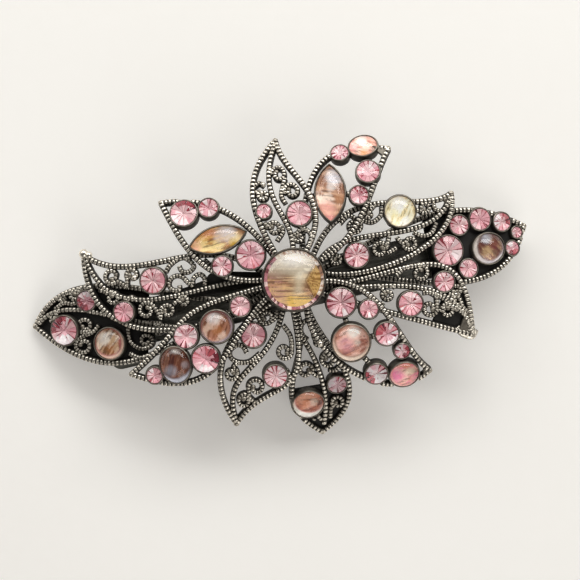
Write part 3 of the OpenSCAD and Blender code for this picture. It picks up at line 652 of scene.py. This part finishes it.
def dark_casting():
    m, nt, p = new_material("dark_casting")
    grain = noise_out(nt, 900, 5, 0.65)
    put(nt, p, Roughness=0.5,
        Base_Color=ramp(nt, grain, (0.35, (0.012, 0.011, 0.010)), (0.6, (0.05, 0.047, 0.042)),
                        (0.78, (0.2, 0.19, 0.17))),
        Metallic=ramp(nt, grain, (0.4, 0.3), (0.7, 1.0)))
    bump(nt, p, grain, 0.4, 0.0001)
    return m


def clear_glass(name, colour, ior):
    """Glass that bends what is seen through it and lets the lamps through to the foil."""
    m, nt, p = new_material(name)
    put(nt, p, Base_Color=(*colour, 1), Transmission_Weight=1.0, Roughness=0.02, IOR=ior)
    path = add(nt, "ShaderNodeLightPath")
    clear = add(nt, "ShaderNodeBsdfTransparent")
    put(nt, clear, Color=(*[c ** 0.5 for c in colour], 1))
    either = add(nt, "ShaderNodeMixShader")
    put(nt, either, Fac=path.outputs["Is Shadow Ray"])
    nt.links.new(p.outputs["BSDF"], either.inputs[1])
    nt.links.new(clear.outputs["BSDF"], either.inputs[2])
    put(nt, nt.nodes["Material Output"], Surface=either.outputs["Shader"])
    return m


def foil(name, metallic, roughness):
    """Coloured foil under a stone: its colour is painted per point, with fine crinkles."""
    m, nt, p = new_material(name)
    # the tint holds the stones' own colours and their painted highlights and reflections
    a = add(nt, "ShaderNodeAttribute", attribute_name="tint")
    grain = noise_out(nt, 2200, 3)
    shade = ramp(nt, grain, (0.3, 0.82), (0.7, 1.0))
    both = add(nt, "ShaderNodeMix", data_type="RGBA", blend_type="MULTIPLY")
    both.inputs["Factor"].default_value = 1.0
    nt.links.new(a.outputs["Color"], both.inputs["A"])
    nt.links.new(shade, both.inputs["B"])
    nt.links.new(both.outputs["Result"], p.inputs["Base Color"])
    put(nt, p, Metallic=metallic, Roughness=roughness)
    bump(nt, p, grain, 0.15, 0.00004)
    return m


PAPER_GLOW = 0.26  # light through the paper from below, which keeps the shadows soft


def paper():
    m, nt, p = new_material("paper")
    fibre = noise_out(nt, 380, 6, 0.6)
    cloud = noise_out(nt, 9, 2)
    half = math_node(nt, "MULTIPLY", fibre, 0.5)
    both = math_node(nt, "ADD", half, math_node(nt, "MULTIPLY", cloud, 0.5))
    sheet = ramp(nt, both, (0.35, (0.845, 0.835, 0.80)), (0.65, (0.88, 0.872, 0.84)))
    put(nt, p, Base_Color=sheet, Roughness=0.85, Specular_IOR_Level=0.2,
        Emission_Color=(1.0, 0.95, 0.9, 1), Emission_Strength=PAPER_GLOW)
    bump(nt, p, fibre, 0.1, 0.0002)
    return m


SILVER = antique_silver()
STEEL = brushed_steel()
CASTING = dark_casting()
PINK_GLASS = clear_glass("pink_glass", (1.0, 0.965, 0.97), 1.55)
CLEAR_GLASS = clear_glass("clear_glass", (1.0, 0.99, 0.98), 1.5)
PINK_FOIL = foil("pink_foil", 0.22, 0.26)
DOME_FOIL = foil("dome_foil", 0.25, 0.35)


# ---------------------------------------------------------------- filigree leaves
def build_leaf(name, leaf):
    b = Build()
    layer = leaf["layer"]
    rng = random.Random(sum(map(ord, name)))
    t = np.linspace(0, 1, 220)
    first, second = leaf["edges"]

    def run(path, width=EDGE_W, **looks):
        wire(b, path, leaf, width, phase=rng.random(), **looks)

    for path in (cubic(first, t), cubic(second, t), [first[0], second[0]]):
        run(path)
    for rib in leaf.get("ribs", []):
        run(cubic(rib, t), EDGE_W * 0.92, lift=0.04)
    for ends in leaf.get("links", []):
        run(ends, EDGE_W * 0.9, height=LOW_H)
    for curl in leaf.get("curls", []):
        path = curl_path(*curl)
        run(path, lift=0.02, **SCROLL)
        ball(b, *path[-1], layer, WALL_H - 0.3, SCROLL_W * 0.66, 0.6)
    for points in leaf.get("arcs", []):
        run(smooth_path(points), **SCROLL)
    for x, y, r in leaf.get("balls", []):
        ball(b, x, y, layer, WALL_H - 0.2, r, 1.0)
    for x, y, d in leaf.get("round", []):
        cup(b, x, y, layer, ellipse_outline(d / 2, d / 2), 0.95 + 0.1 * d)
    for x, y, dx, dy in leaf.get("domed", []):
        cup(b, x, y, layer, ellipse_outline(dx / 2, dy / 2), 0.95 + 0.1 * dx,
            CUP_FOOT_ON_BACK if "back" in leaf else CUP_FOOT)
    for x, y, length, w, turn in leaf.get("boat", []):
        cup(b, x, y, layer, boat_outline(length, w, turn), 1.5)
    if "back" in leaf:
        plate(b, leaf, leaf["back"], 0.1, -0.15, 0.03)
    if "web" in leaf:
        web(b, leaf)
    if "tip" in leaf:
        plate(b, leaf, leaf["tip"], LOW_H, 0.1, 0.42)
    if "lip" in leaf:
        wire(b, smooth_path(leaf["lip"]), leaf, EDGE_W * 1.1, height=0.75, cut=0.0, groove=1.0,
             skirt=0.9)
    ball(b, *first[3], layer, WALL_H * 0.55, EDGE_W * 0.58, 0.7)
    b.make(name + "_filigree", [SILVER], "antique_silver", [name])


# ---------------------------------------------------------------- round faceted stones
def lin(*rgb):
    """Linear colour of an sRGB colour, given in 0 to 255."""
    return tuple(s / 12.92 if s <= 0.04045 else ((s + 0.055) / 1.055) ** 2.4
                 for s in (c / 255 for c in rgb))


PINKS = [lin(250, 204, 208), lin(244, 188, 196), lin(254, 216, 218), lin(240, 178, 188)]
ROSES = [lin(190, 92, 102), lin(160, 66, 78), lin(212, 122, 128), lin(128, 50, 62)]
PALE = [lin(255, 244, 244), lin(255, 232, 234)]
PLUM = lin(78, 40, 52)
# for stones that catch the light: the directions of the white and the dark patch in the picture
CHATON_GLINTS = {(-46.7, 0.5): (-115, 120), (-41.2, 5.3): (60, 200), (15.6, -14.4): (-50, 130),
                 (17.8, -18.3): (100, -40), (3.7, -21.8): (150, None),
                 (11.8, -21.4): (-60, 180), (-20.6, -11.3): (-100, 30),
                 (-18.4, 17.5): (-140, 70), (42.9, 2): (150, 0), (43.8, -3.6): (100, -80)}


def near(angle, way, reach):
    """Whether a sector faces a direction of the picture, in degrees."""
    if way is None:
        return False
    u, v = picture_axes(math.cos(angle), math.sin(angle))
    return math.cos(math.radians(way)) * u + math.sin(math.radians(way)) * v > reach


def chaton_foil(b, x, y, layer, d, spin, rng, painted_light_gain):
    """Light sectors of uneven width and depth, with dark wedges between them."""
    r = d / 2
    n = 13 if d > 4.4 else (11 if d > 3.3 else 9)
    z_rim, z_core = STONE_Z + 0.30 * r, STONE_Z + 0.03 * r
    bright_at, dark_at = CHATON_GLINTS.get((x, y), (None, None))
    table = rng.choice(PINKS[:3])

    def at(a, f, z):
        return (0.965 * r * f * math.cos(a), 0.965 * r * f * math.sin(a), z)

    # painted facet reflections: each sector is the stone's pink, painted lighter or darker sector
    # by sector
    for k in range(n):
        a0 = spin + (k + rng.uniform(-0.2, 0.2)) * 2 * np.pi / n
        a1 = spin + (k + 1) * 2 * np.pi / n
        wedge = rng.choice((0.05, 0.12, 0.22, 0.4)) * 2 * np.pi / n
        depth = rng.choice((0.3, 0.38, 0.46, 0.62))
        light = rng.choice(PINKS + (PALE if rng.random() < 0.5 else []))
        dark = rng.choice(ROSES)
        patch = rng.choice(PINKS + ROSES[:1])
        tone = rng.uniform(0.76, 0.98) * painted_light_gain
        # painted glints: a white highlight towards bright_at, darker facets towards dark_at
        if near(a0, bright_at, 0.62):
            light, dark, tone = PALE[0], PINKS[0], 1.1 * painted_light_gain
        elif near(a0, dark_at, 0.6):
            light, dark = ROSES[rng.randrange(4)], PLUM
        lift = rng.uniform(-0.06, 0.06) * r
        z = z_core + (z_rim - z_core) * depth + lift
        inside = at(a0 + wedge * 0.6, depth, z - lift)  # where the wedge ends
        before = at(a0 + wedge * 0.6, depth * 0.9, z - lift)
        after = at(a1 - 0.02, depth, z)
        for face, colour in (
                ((at(a0 + wedge, 1, z_rim), at(a1, 1, z_rim), after, inside), light),
                ((at(a0, 0.02, z_core), inside, after), table),
                ((at(a0, 1, z_rim), at(a0 + wedge, 1, z_rim), before), dark),
                ((at(a0, 1, z_rim), before, at(a0, depth * 0.8, z_core + 0.01)), patch)):
            c = tuple(min(1.0, v * tone) for v in colour)
            b.add(placed(np.array(face), x, y, layer), [tuple(range(len(face)))], tint=c,
                  slot=1, smooth=False)
    # a floor just under the sectors, so that no gap shows between them
    base = np.concatenate([ring(24, 0.97 * r, z_rim - 0.02 * r, spin=spin),
                           [[0, 0, z_core - 0.05 * r]]])
    b.add(placed(base, x, y, layer), fan(1, 24), tint=ROSES[1], slot=1, smooth=False)


def chaton_glass(b, x, y, layer, d, spin):
    """Closed crown with a table, star, kites and a girdle, and a shallow pavilion."""
    r, m = d / 2, 8
    v = np.concatenate([ring(m, 0.56 * r, STONE_Z + 0.60 * r, spin=spin),
                        ring(m, 0.80 * r, STONE_Z + 0.50 * r, 0.5, spin),
                        ring(2 * m, r, STONE_Z + 0.38 * r, spin=spin),
                        ring(2 * m, r, STONE_Z + 0.27 * r, spin=spin),
                        [[0, 0, STONE_Z - 0.02]]])
    star, girdle, low, culet = m, 2 * m, 4 * m, 6 * m
    faces = [tuple(range(m))]
    for i in range(m):
        here, there = girdle + 2 * i, girdle + 2 * i + 1
        faces.append((i, star + i, (i + 1) % m))
        faces.append((i, star + (i - 1) % m, here, star + i))
        faces.append((star + i, here, there))
        faces.append((star + i, there, girdle + (2 * i + 2) % (2 * m)))
    for i in range(2 * m):
        j = (i + 1) % (2 * m)
        faces.append((girdle + i, low + i, low + j, girdle + j))
        faces.append((low + i, culet, low + j))
    b.add(placed(v, x, y, layer), faces, slot=0, smooth=False)


def painted_light_for(x, y):
    """How much brighter a foil is painted where the droop turns it from the window."""
    up = float(normals_at(np.float64(x), np.float64(y)) @ np.array(UP_AXIS))
    return 1 + 0.9 * max(0.0, -up)


def chaton(b, x, y, layer, d, rng):
    spin = rng.random() * 6.28
    # painted light: the foil is painted brighter where the droop turns it from the window
    chaton_foil(b, x, y, layer, d, spin, rng, 0.1 + 0.9 * painted_light_for(x, y))
    chaton_glass(b, x, y, layer, d, spin)


# ---------------------------------------------------------------- domed stones
def smoothstep(a, b, x):
    t = np.clip((x - a) / (b - a), 0, 1)
    return t * t * (3 - 2 * t)


def streak_noise(a, c, along, across, seed):
    out = np.empty(len(a))
    for i, (p, q) in enumerate(zip(a, c)):
        out[i] = noise.fractal(Vector((p * along + seed, q * across, seed * 1.7)), 0.8, 2.1, 4)
    return np.clip(0.5 + out * 0.75, 0, 1)


def mix(a, b, t):
    t = np.reshape(t, (-1, 1))
    return np.asarray(a, float) * (1 - t) + np.asarray(b, float) * t


# What is painted under each dome, by its place: three core colours; the grain's direction and
# fineness; the disc that they fill, as x, y and radius; rim colours and their direction; the
# line round the disc, with its strength; and spots as x, y, radius, colour and strength. The
# near-white spots high on a stone are painted highlights, the other spots its own colours
DOME_LOOKS = {
    (-38.5, -4.1): dict(
        core=[(206, 172, 138), (160, 108, 70), (246, 230, 210)], grain=60,
        disc=(-0.08, 0.08, 0.72), rim=[(226, 196, 178), (214, 160, 140)], line=(150, 60, 66),
        line_s=0.7, rim_dir=160,
        spots=[(-0.35, 0.25, 0.5, (240, 234, 226), 0.9), (0.85, 0.1, 0.5, (214, 92, 104), 0.9),
               (0.1, -0.3, 0.4, (176, 108, 60), 0.6)]),
    (23.6, 8.6): dict(
        core=[(255, 252, 226), (255, 236, 182), (255, 255, 248)], grain=70, disc=(0, 0, 0.86),
        rim=[(232, 190, 140), (238, 220, 196)], line=(196, 150, 110), line_s=0.4,
        spots=[(-0.1, 0.5, 0.6, (255, 255, 252), 1.0), (-0.4, -0.1, 0.4, (255, 246, 190), 0.8)]),
    (19.4, 22.4): dict(
        core=[(240, 190, 172), (226, 156, 136), (250, 222, 206)], grain=-20, disc=(0, -0.02, 0.84),
        rim=[(244, 178, 178), (250, 214, 206)], line=(226, 150, 140), line_s=0.4,
        spots=[(-0.1, 0.45, 0.45, (255, 246, 240), 0.7), (0.1, -0.5, 0.45, (236, 168, 106), 0.9),
               (-0.6, 0, 0.4, (246, 160, 164), 0.8)]),
    (39, -2.6): dict(
        core=[(128, 86, 68), (190, 152, 114), (92, 40, 38)], grain=-38, fine=9,
        disc=(0.1, 0.1, 0.68), rim=[(232, 224, 216), (206, 200, 204)], line=(96, 60, 56),
        line_s=0.8, rim_dir=-40,
        spots=[(-0.1, 0.55, 0.42, (206, 212, 226), 0.95), (0.3, 0.2, 0.35, (120, 40, 44), 0.8),
               (-0.1, -0.15, 0.35, (196, 166, 120), 0.8)]),
    (17.2, -22.7): dict(
        core=[(214, 122, 146), (204, 140, 128), (226, 176, 162)], grain=15, disc=(0.1, 0.05, 0.8),
        rim=[(238, 156, 160), (238, 200, 180)], line=(206, 120, 120), line_s=0.4, rim_dir=-30,
        spots=[(-0.5, -0.1, 0.6, (242, 120, 168), 0.9), (0.35, 0.15, 0.4, (222, 206, 180), 0.9),
               (0.15, 0.6, 0.4, (226, 140, 110), 0.8), (0.3, -0.1, 0.18, (150, 60, 50), 0.7)]),
    (8.3, -14.5): dict(
        core=[(200, 140, 118), (158, 98, 84), (232, 192, 178)], grain=20, disc=(0.02, 0.1, 0.76),
        rim=[(232, 214, 196), (222, 184, 166)], line=(140, 84, 66), line_s=0.6, rim_dir=90,
        spots=[(-0.25, -0.1, 0.5, (216, 150, 160), 0.8),
               (0.12, 0.5, 0.42, (246, 240, 234), 0.95), (0.5, -0.1, 0.3, (128, 74, 62), 0.7),
               (0.3, 0.0, 0.2, (226, 216, 206), 0.6)]),
    (-2.8, -24.2): dict(
        core=[(178, 112, 88), (138, 74, 58), (200, 146, 122)], grain=0, disc=(0.05, 0.22, 0.74),
        rim=[(238, 214, 206), (214, 130, 96)], line=(140, 56, 52), line_s=0.6, rim_dir=80,
        spots=[(0.3, 0.1, 0.3, (206, 190, 176), 0.7), (-0.1, 0.05, 0.3, (196, 110, 60), 0.7)]),
    (-17.1, -5.6): dict(
        core=[(180, 126, 100), (150, 92, 66), (222, 190, 170)], grain=70,
        disc=(-0.03, -0.03, 0.76), rim=[(206, 196, 206), (168, 110, 104)], line=(110, 66, 62),
        line_s=0.5, rim_dir=120,
        spots=[(-0.15, 0.5, 0.5, (240, 238, 238), 0.95), (0.05, -0.2, 0.4, (188, 122, 72), 0.7)]),
    (-26.7, -11.1): dict(
        core=[(104, 58, 42), (146, 96, 74), (64, 24, 22)], grain=80, disc=(-0.04, 0.08, 0.74),
        rim=[(196, 198, 210), (226, 190, 160)], line=(84, 44, 40), line_s=0.7, rim_dir=100,
        spots=[(0, 0.75, 0.3, (250, 240, 232), 0.95), (-0.2, -0.3, 0.4, (196, 206, 222), 0.45),
               (0.45, 0, 0.25, (206, 206, 214), 0.5)]),
    (-13, 11.2): dict(
        core=[(228, 186, 108), (190, 132, 72), (250, 228, 164)], grain=17, fine=12,
        disc=(0, 0, 1.6), rim=[(226, 150, 130), (226, 150, 130)], line_s=0.0,
        spots=[(0.35, 0.22, 0.4, (246, 244, 250), 0.95), (0.05, 0.12, 0.3, (232, 214, 206), 0.8),
               (-0.9, -0.25, 0.45, (226, 150, 140), 0.9), (-0.35, 0.3, 0.4, (220, 140, 96), 0.8),
               (0.5, -0.05, 0.2, (206, 170, 40), 0.8), (0.9, 0.2, 0.3, (196, 150, 150), 0.8)]),
    (10.9, 15): dict(
        core=[(212, 170, 140), (168, 120, 94), (248, 228, 212)], grain=-8, fine=13,
        disc=(0, 0, 1.6), rim=[(226, 160, 150), (226, 160, 150)], line_s=0.0,
        spots=[(0.12, 0.55, 0.36, (236, 238, 248), 0.95), (0.03, 0.2, 0.2, (250, 242, 238), 0.8),
               (-0.12, -0.55, 0.4, (226, 160, 150), 0.8), (0.3, -0.2, 0.25, (176, 120, 76), 0.8),
               (-0.28, 0.4, 0.25, (150, 98, 66), 0.7), (0, -0.95, 0.3, (226, 150, 146), 0.9)]),
}


def foil_colours(u, v, spec, seed):
    """Colours over a stone, u to the picture's right and v up, both as shares of its half size."""
    ang = math.radians(spec.get("grain", 0))
    a = u * math.cos(ang) + v * math.sin(ang)
    c = -u * math.sin(ang) + v * math.cos(ang)
    fine = streak_noise(a, c, 1.3, spec.get("fine", 7.0), seed)
    broad = streak_noise(a, c, 0.9, 2.2, seed + 11)
    core = [lin(*rgb) for rgb in spec["core"]]
    colour = mix(core[0], core[1], smoothstep(0.38, 0.6, fine))
    colour = mix(colour, core[2], smoothstep(0.5, 0.66, broad) * 0.85)
    colour = mix(colour, [s * 0.35 for s in core[1]], smoothstep(0.66, 0.78, fine) * 0.7)
    # spots: the stone's own colour patches, and near-white painted highlights high on it
    for x, y, r, rgb, strength in spec.get("spots", []):
        share = 1 - smoothstep(r * 0.35, r, np.hypot(u - x, v - y))
        colour = mix(colour, lin(*rgb), share * strength * (0.75 + 0.5 * (fine - 0.5)))
    cu, cv, cr = spec["disc"]
    d = np.hypot(u - cu, v - cv) + (broad - 0.5) * 0.05
    way = math.radians(spec.get("rim_dir", 90))
    across = smoothstep(-0.6, 0.6, u * math.cos(way) + v * math.sin(way))
    rim = mix(lin(*spec["rim"][0]), lin(*spec["rim"][1]), across)
    colour = mix(colour, rim, smoothstep(cr - 0.05, cr + 0.03, d))
    line = np.exp(-((d - cr) / 0.045) ** 2)
    return mix(colour, lin(*spec.get("line", (120, 72, 60))), line * spec["line_s"])


def dome(b, x, y, layer, p, girdle, rise, profile, seed):
    """Glass dome over a painted foil. Its profile is in shares of the outline and the rise."""
    k = len(p)
    rows = [flat(p * 0.985, STONE_Z)]
    rows += [flat(p * share, STONE_Z + (girdle + rise * up)) for share, up in profile]
    v = np.concatenate(rows + [[[0, 0, STONE_Z + girdle + rise]]])
    faces = grid_faces(len(rows), k) + fan(len(rows), k) + first_cap(k)
    b.add(placed(v, x, y, layer), faces, slot=0)
    # foil, as a fine disc with an upright rim just inside the glass
    rings = 28
    shares = np.concatenate([[0.965, 0.96, 0.955], np.linspace(0.945, 0.02, rings)])
    heights = np.concatenate([[girdle * 0.92, girdle * 0.6, 0.24], np.full(rings, 0.12)])
    v = np.concatenate([flat(p * f, z) for f, z in zip(shares, heights + STONE_Z)])
    pu, pv = picture_axes(v[:, 0], v[:, 1])
    reach = np.hypot(p[:, 0], p[:, 1]).max()
    colours = foil_colours(pu / reach, pv / reach, DOME_LOOKS[(x, y)], seed)
    faces = grid_faces(len(shares), k) + last_cap(len(shares), k)
    # painted light: the foil's colours are brightened where the droop turns the stone from the
    # window
    b.add(placed(v, x, y, layer), faces, tint=np.clip(colours * painted_light_for(x, y), 0, 1), slot=1)


ROUND_DOME = [(np.cos(a), np.sin(a)) for a in np.linspace(0, math.pi / 2, 15)[:-1]]
BOAT_DOME = [(1.0, 0.0), (0.93, 0.34), (0.72, 0.72), (0.46, 0.92), (0.22, 0.99)]


def domed_stone(b, x, y, layer, dx, dy, seed):
    rise = 0.62 * min(dx / 2, dy / 2)
    dome(b, x, y, layer, ellipse_outline(dx / 2, dy / 2, 56)[0], 0.5, rise, ROUND_DOME, seed)


def boat_stone(b, x, y, layer, length, w, turn, seed):
    dome(b, x, y, layer, boat_outline(length, w, turn)[0], 0.55, 1.35, BOAT_DOME, seed)


# ---------------------------------------------------------------- middle stone
BELT_ROSE = [lin(128, 66, 78), lin(196, 130, 144), lin(246, 222, 222), lin(96, 50, 58),
             lin(170, 100, 116)]
BELT_PALE = [lin(250, 246, 236), lin(226, 210, 190), lin(196, 156, 130), lin(255, 252, 246),
             lin(120, 96, 84)]


def centre_pattern(u, v):
    """Colours under the middle stone: cream above, lined gold and rose below, a V at the right."""
    fine = streak_noise(u, v, 0.9, 17.0, 3.1)
    thin = streak_noise(u, v, 1.6, 30.0, 5.3)
    broad = streak_noise(u, v, 1.2, 3.2, 8.7)
    cream, beige, gold = lin(244, 236, 214), lin(214, 200, 170), lin(226, 184, 110)
    brown, rose = lin(106, 68, 44), lin(206, 150, 150)
    colour = mix(cream, beige, smoothstep(0.35, 0.65, broad) * 0.9)
    lines = smoothstep(0.52, 0.66, fine)
    tongue = np.exp(-((u - 0.16 - 0.1 * v) / (0.2 + 0.12 * v)) ** 2) * smoothstep(-0.5, -0.3, v)
    low = smoothstep(0.3, -0.05, v + (broad - 0.5) * 0.3) * (1 - 0.85 * tongue)
    warm = mix(gold, lin(196, 140, 84), smoothstep(0.35, 0.65, broad))
    colour = mix(colour, warm, low * 0.85)
    colour = mix(colour, brown, lines * (0.42 + 0.45 * low) * (1 - 0.7 * tongue))
    left = smoothstep(0.0, -0.6, u + v * 0.5) * smoothstep(0.45, 0.0, v)
    colour = mix(colour, rose, left * (0.12 + 0.4 * smoothstep(0.5, 0.66, thin)))
    past = u - 0.34 - 0.55 * np.abs(v + 0.02)  # how far into the V a point is
    gilt = mix(lin(150, 104, 44), lin(222, 182, 110), smoothstep(0.42, 0.6, thin))
    colour = mix(colour, gilt, smoothstep(0.0, 0.07, past) * 0.9)
    colour = mix(colour, lin(120, 78, 40), np.exp(-(past / 0.025) ** 2) * 0.7)
    band = smoothstep(-0.46, -0.52, v) * smoothstep(-0.35, -0.1, u)
    gilt = mix(lin(236, 196, 96), brown, smoothstep(0.5, 0.62, fine))
    colour = mix(colour, gilt, band * 0.85)
    # painted highlight: a soft near-white patch towards the top of the middle stone
    painted_highlight = np.exp(-((u + 0.05) / 0.5) ** 2 - ((v - 0.62) / 0.26) ** 2)
    return mix(colour, lin(255, 253, 248), painted_highlight * 0.9)


def centre_stone():
    """A faceted belt under a smooth dome, over a painted disc and a belt of small foils."""
    lo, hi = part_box("centre_stone")
    z0, r = lo.z / MM, (hi.x - lo.x) / 2 / MM
    girdle, rise, bevel, inner = 1.4, 1.9, 0.22, 0.955
    b = Build()
    n = 28
    v = np.concatenate([ring(n, r * 0.985, z0), ring(n, r, z0 + girdle * 0.75),
                        ring(n, r * inner, z0 + girdle + bevel, 0.5)])
    faces = first_cap(n)
    for i in range(n):
        j = (i + 1) % n
        faces.append((i, j, n + j, n + i))
        faces.append((n + i, n + j, 2 * n + i))
        faces.append((2 * n + i, n + j, 2 * n + j))
    b.add(v, faces, slot=0, smooth=False)
    shares = np.linspace(inner, 0.0, 14)[:-1]
    rows = [ring(n, r * f, z0 + girdle + bevel + (rise - bevel) * (1 - (f / inner) ** 2), 0.5)
            for f in shares]
    v = np.concatenate(rows + [[[0, 0, z0 + girdle + rise]]])
    b.add(v, grid_faces(len(rows), n) + fan(len(rows), n), slot=0)

    rings, cols, disc, z_disc = 60, 120, 0.84, z0 + 0.2
    v = np.concatenate([ring(cols, r * f, z_disc) for f in np.linspace(disc, 0.01, rings)])
    pu, pv = picture_axes(v[:, 0], v[:, 1])
    faces = grid_faces(rings, cols) + last_cap(rings, cols)
    b.add(v, faces, tint=centre_pattern(pu / r, pv / r), slot=1)

    rng = random.Random(5)
    count = 40
    for k in range(count):
        a0, a1 = 2 * math.pi * k / count, 2 * math.pi * (k + 1) / count
        am = (a0 + a1) / 2
        pu, pv = picture_axes(math.cos(am), math.sin(am))
        palette = BELT_ROSE if (pu < 0.1 or pv < -0.55) and pv < 0.8 else BELT_PALE
        for tri in (((disc, a0), (0.97, a0), (0.97, a1)), ((disc, a0), (0.97, a1), (disc, a1))):
            v = [(r * f * math.cos(a), r * f * math.sin(a), z_disc if f == disc else z0 + 0.75)
                 for f, a in tri]
            b.add(v, [(0, 1, 2)], tint=rng.choice(palette), slot=1, smooth=False)
    b.make("centre_crystal", [CLEAR_GLASS, DOME_FOIL], "centre_crystal", ["centre_stone"])


def centre_bezel():
    lo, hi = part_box("centre_cup")
    z, top, outer = lo.z / MM, hi.z / MM, (hi.x - lo.x) / 2 / MM
    b = Build()
    # in from the outside, up, and how bright
    profile = [(0.5, z, 0.02), (0, z + 0.1, 0.1), (0, z + 0.9, 0.2), (0.02, top - 0.35, 0.25),
               (0.1, top - 0.05, 0.4), (0.28, top, 0.3), (0.38, top - 0.25, 0.12),
               (0.39, z + 0.6, 0.05)]
    k = 96
    v = np.concatenate([ring(k, outer - into, up) for into, up, _ in profile])
    b.add(v, tube_faces(len(profile), k), np.repeat([g for _, _, g in profile], k))
    b.make("centre_bezel", [SILVER], "antique_silver", ["centre_cup"])


# ---------------------------------------------------------------- build everything
SLOTS = {m["node"]: m["material_slot"] for m in frame["record"]["subparts"]}
for leaf_name, leaf in LEAVES.items():
    build_leaf(leaf_name, leaf)
    level = leaf["layer"]
    rng = random.Random(len(leaf_name) * 31 + level)
    cut, domed, boats = Build(), Build(), Build()
    for x, y, d in leaf.get("round", []):
        chaton(cut, x, y, level, d, rng)
    for i, (x, y, dx, dy) in enumerate(leaf.get("domed", [])):
        domed_stone(domed, x, y, level, dx, dy, 1.3 * i + len(leaf_name))
    for x, y, length, w, turn in leaf.get("boat", []):
        boat_stone(boats, x, y, level, length, w, turn, 4.1 + level)
    for b, nodes, suffix, materials in ((cut, ROUND_NODES, "_cut", [PINK_GLASS, PINK_FOIL]),
                                        (domed, DOMED_NODES, "_glass", [CLEAR_GLASS, DOME_FOIL]),
                                        (boats, BOAT_NODES, "_glass", [CLEAR_GLASS, DOME_FOIL])):
        if leaf_name in nodes:
            node = nodes[leaf_name]
            b.make(node + suffix, materials, SLOTS[node], [node])
centre_stone()
centre_bezel()

for name, obj in frame["nodes"].items():
    obj.data.materials.clear()
    obj.data.materials.append(CASTING if name == "hub_plate" else STEEL)

# ---------------------------------------------------------------- floor, light and camera
floor_mesh = bpy.data.meshes.new("floor")
floor_mesh.from_pydata([(-3, -3, 0), (3, -3, 0), (3, 3, 0), (-3, 3, 0)], [], [(0, 1, 2, 3)])
floor_mesh.materials.append(paper())
floor = bpy.data.objects.new("floor", floor_mesh)
bpy.context.scene.collection.objects.link(floor)

RIGHT = Vector((math.cos(TURN), -math.sin(TURN), 0))
UP = Vector(UP_AXIS)


def lamp(name, right, up, high, size, power, colour, size_y):
    """A soft lamp that faces the middle, placed by the picture's directions."""
    data = bpy.data.lights.new(name, "AREA")
    data.energy, data.color = power, colour
    data.shape = "RECTANGLE"
    data.size, data.size_y = size, size_y
    obj = bpy.data.objects.new(name, data)
    bpy.context.scene.collection.objects.link(obj)
    obj.location = RIGHT * right + UP * up + Vector((0, 0, high))
    obj.rotation_mode = "QUATERNION"
    obj.rotation_quaternion = (-obj.location).to_track_quat("-Z", "Y")


lamp("window", 0.18, 0.55, 0.46, 0.9, 4.25, (1.0, 0.995, 0.975), 0.30)
lamp("side", -0.44, 0.44, 0.36, 0.5, 1.15, (1.0, 0.995, 0.98), 0.3)
lamp("fill", 0.24, -0.48, 0.46, 0.5, 1.2, (1.0, 0.97, 0.93), 0.5)

# plain sky, brighter near the horizon than overhead
world = bpy.data.worlds.new("studio")
bpy.context.scene.world = world
world.use_nodes = True
sky = world.node_tree
split = add(sky, "ShaderNodeSeparateXYZ")
put(sky, split, Vector=add(sky, "ShaderNodeTexCoord").outputs["Generated"])
shades = ramp(sky, split.outputs["Z"], (0.0, (0.95, 0.92, 0.87)), (0.45, (0.62, 0.60, 0.57)),
              (1.0, (0.30, 0.29, 0.275)))
put(sky, sky.nodes["Background"], Color=shades, Strength=0.24)

FLOWER_Z, DISTANCE, WIDTH, SENSOR = 0.012, 1.2, 0.116, 36  # the width that the picture takes in
camera_data = bpy.data.cameras.new("camera")
camera = bpy.data.objects.new("camera", camera_data)
bpy.context.scene.collection.objects.link(camera)
camera.location = RIGHT * -0.0008 + UP * -0.002 + Vector((0, 0, FLOWER_Z + DISTANCE))
camera.rotation_mode = "QUATERNION"
camera.rotation_quaternion = Matrix((RIGHT, UP, (0, 0, 1))).transposed().to_quaternion()
camera_data.sensor_width = SENSOR
camera_data.lens = SENSOR * DISTANCE / WIDTH
camera_data.clip_start, camera_data.clip_end = 0.01, 10
bpy.context.scene.camera = camera
bpy.context.scene.view_settings.view_transform = "Standard"
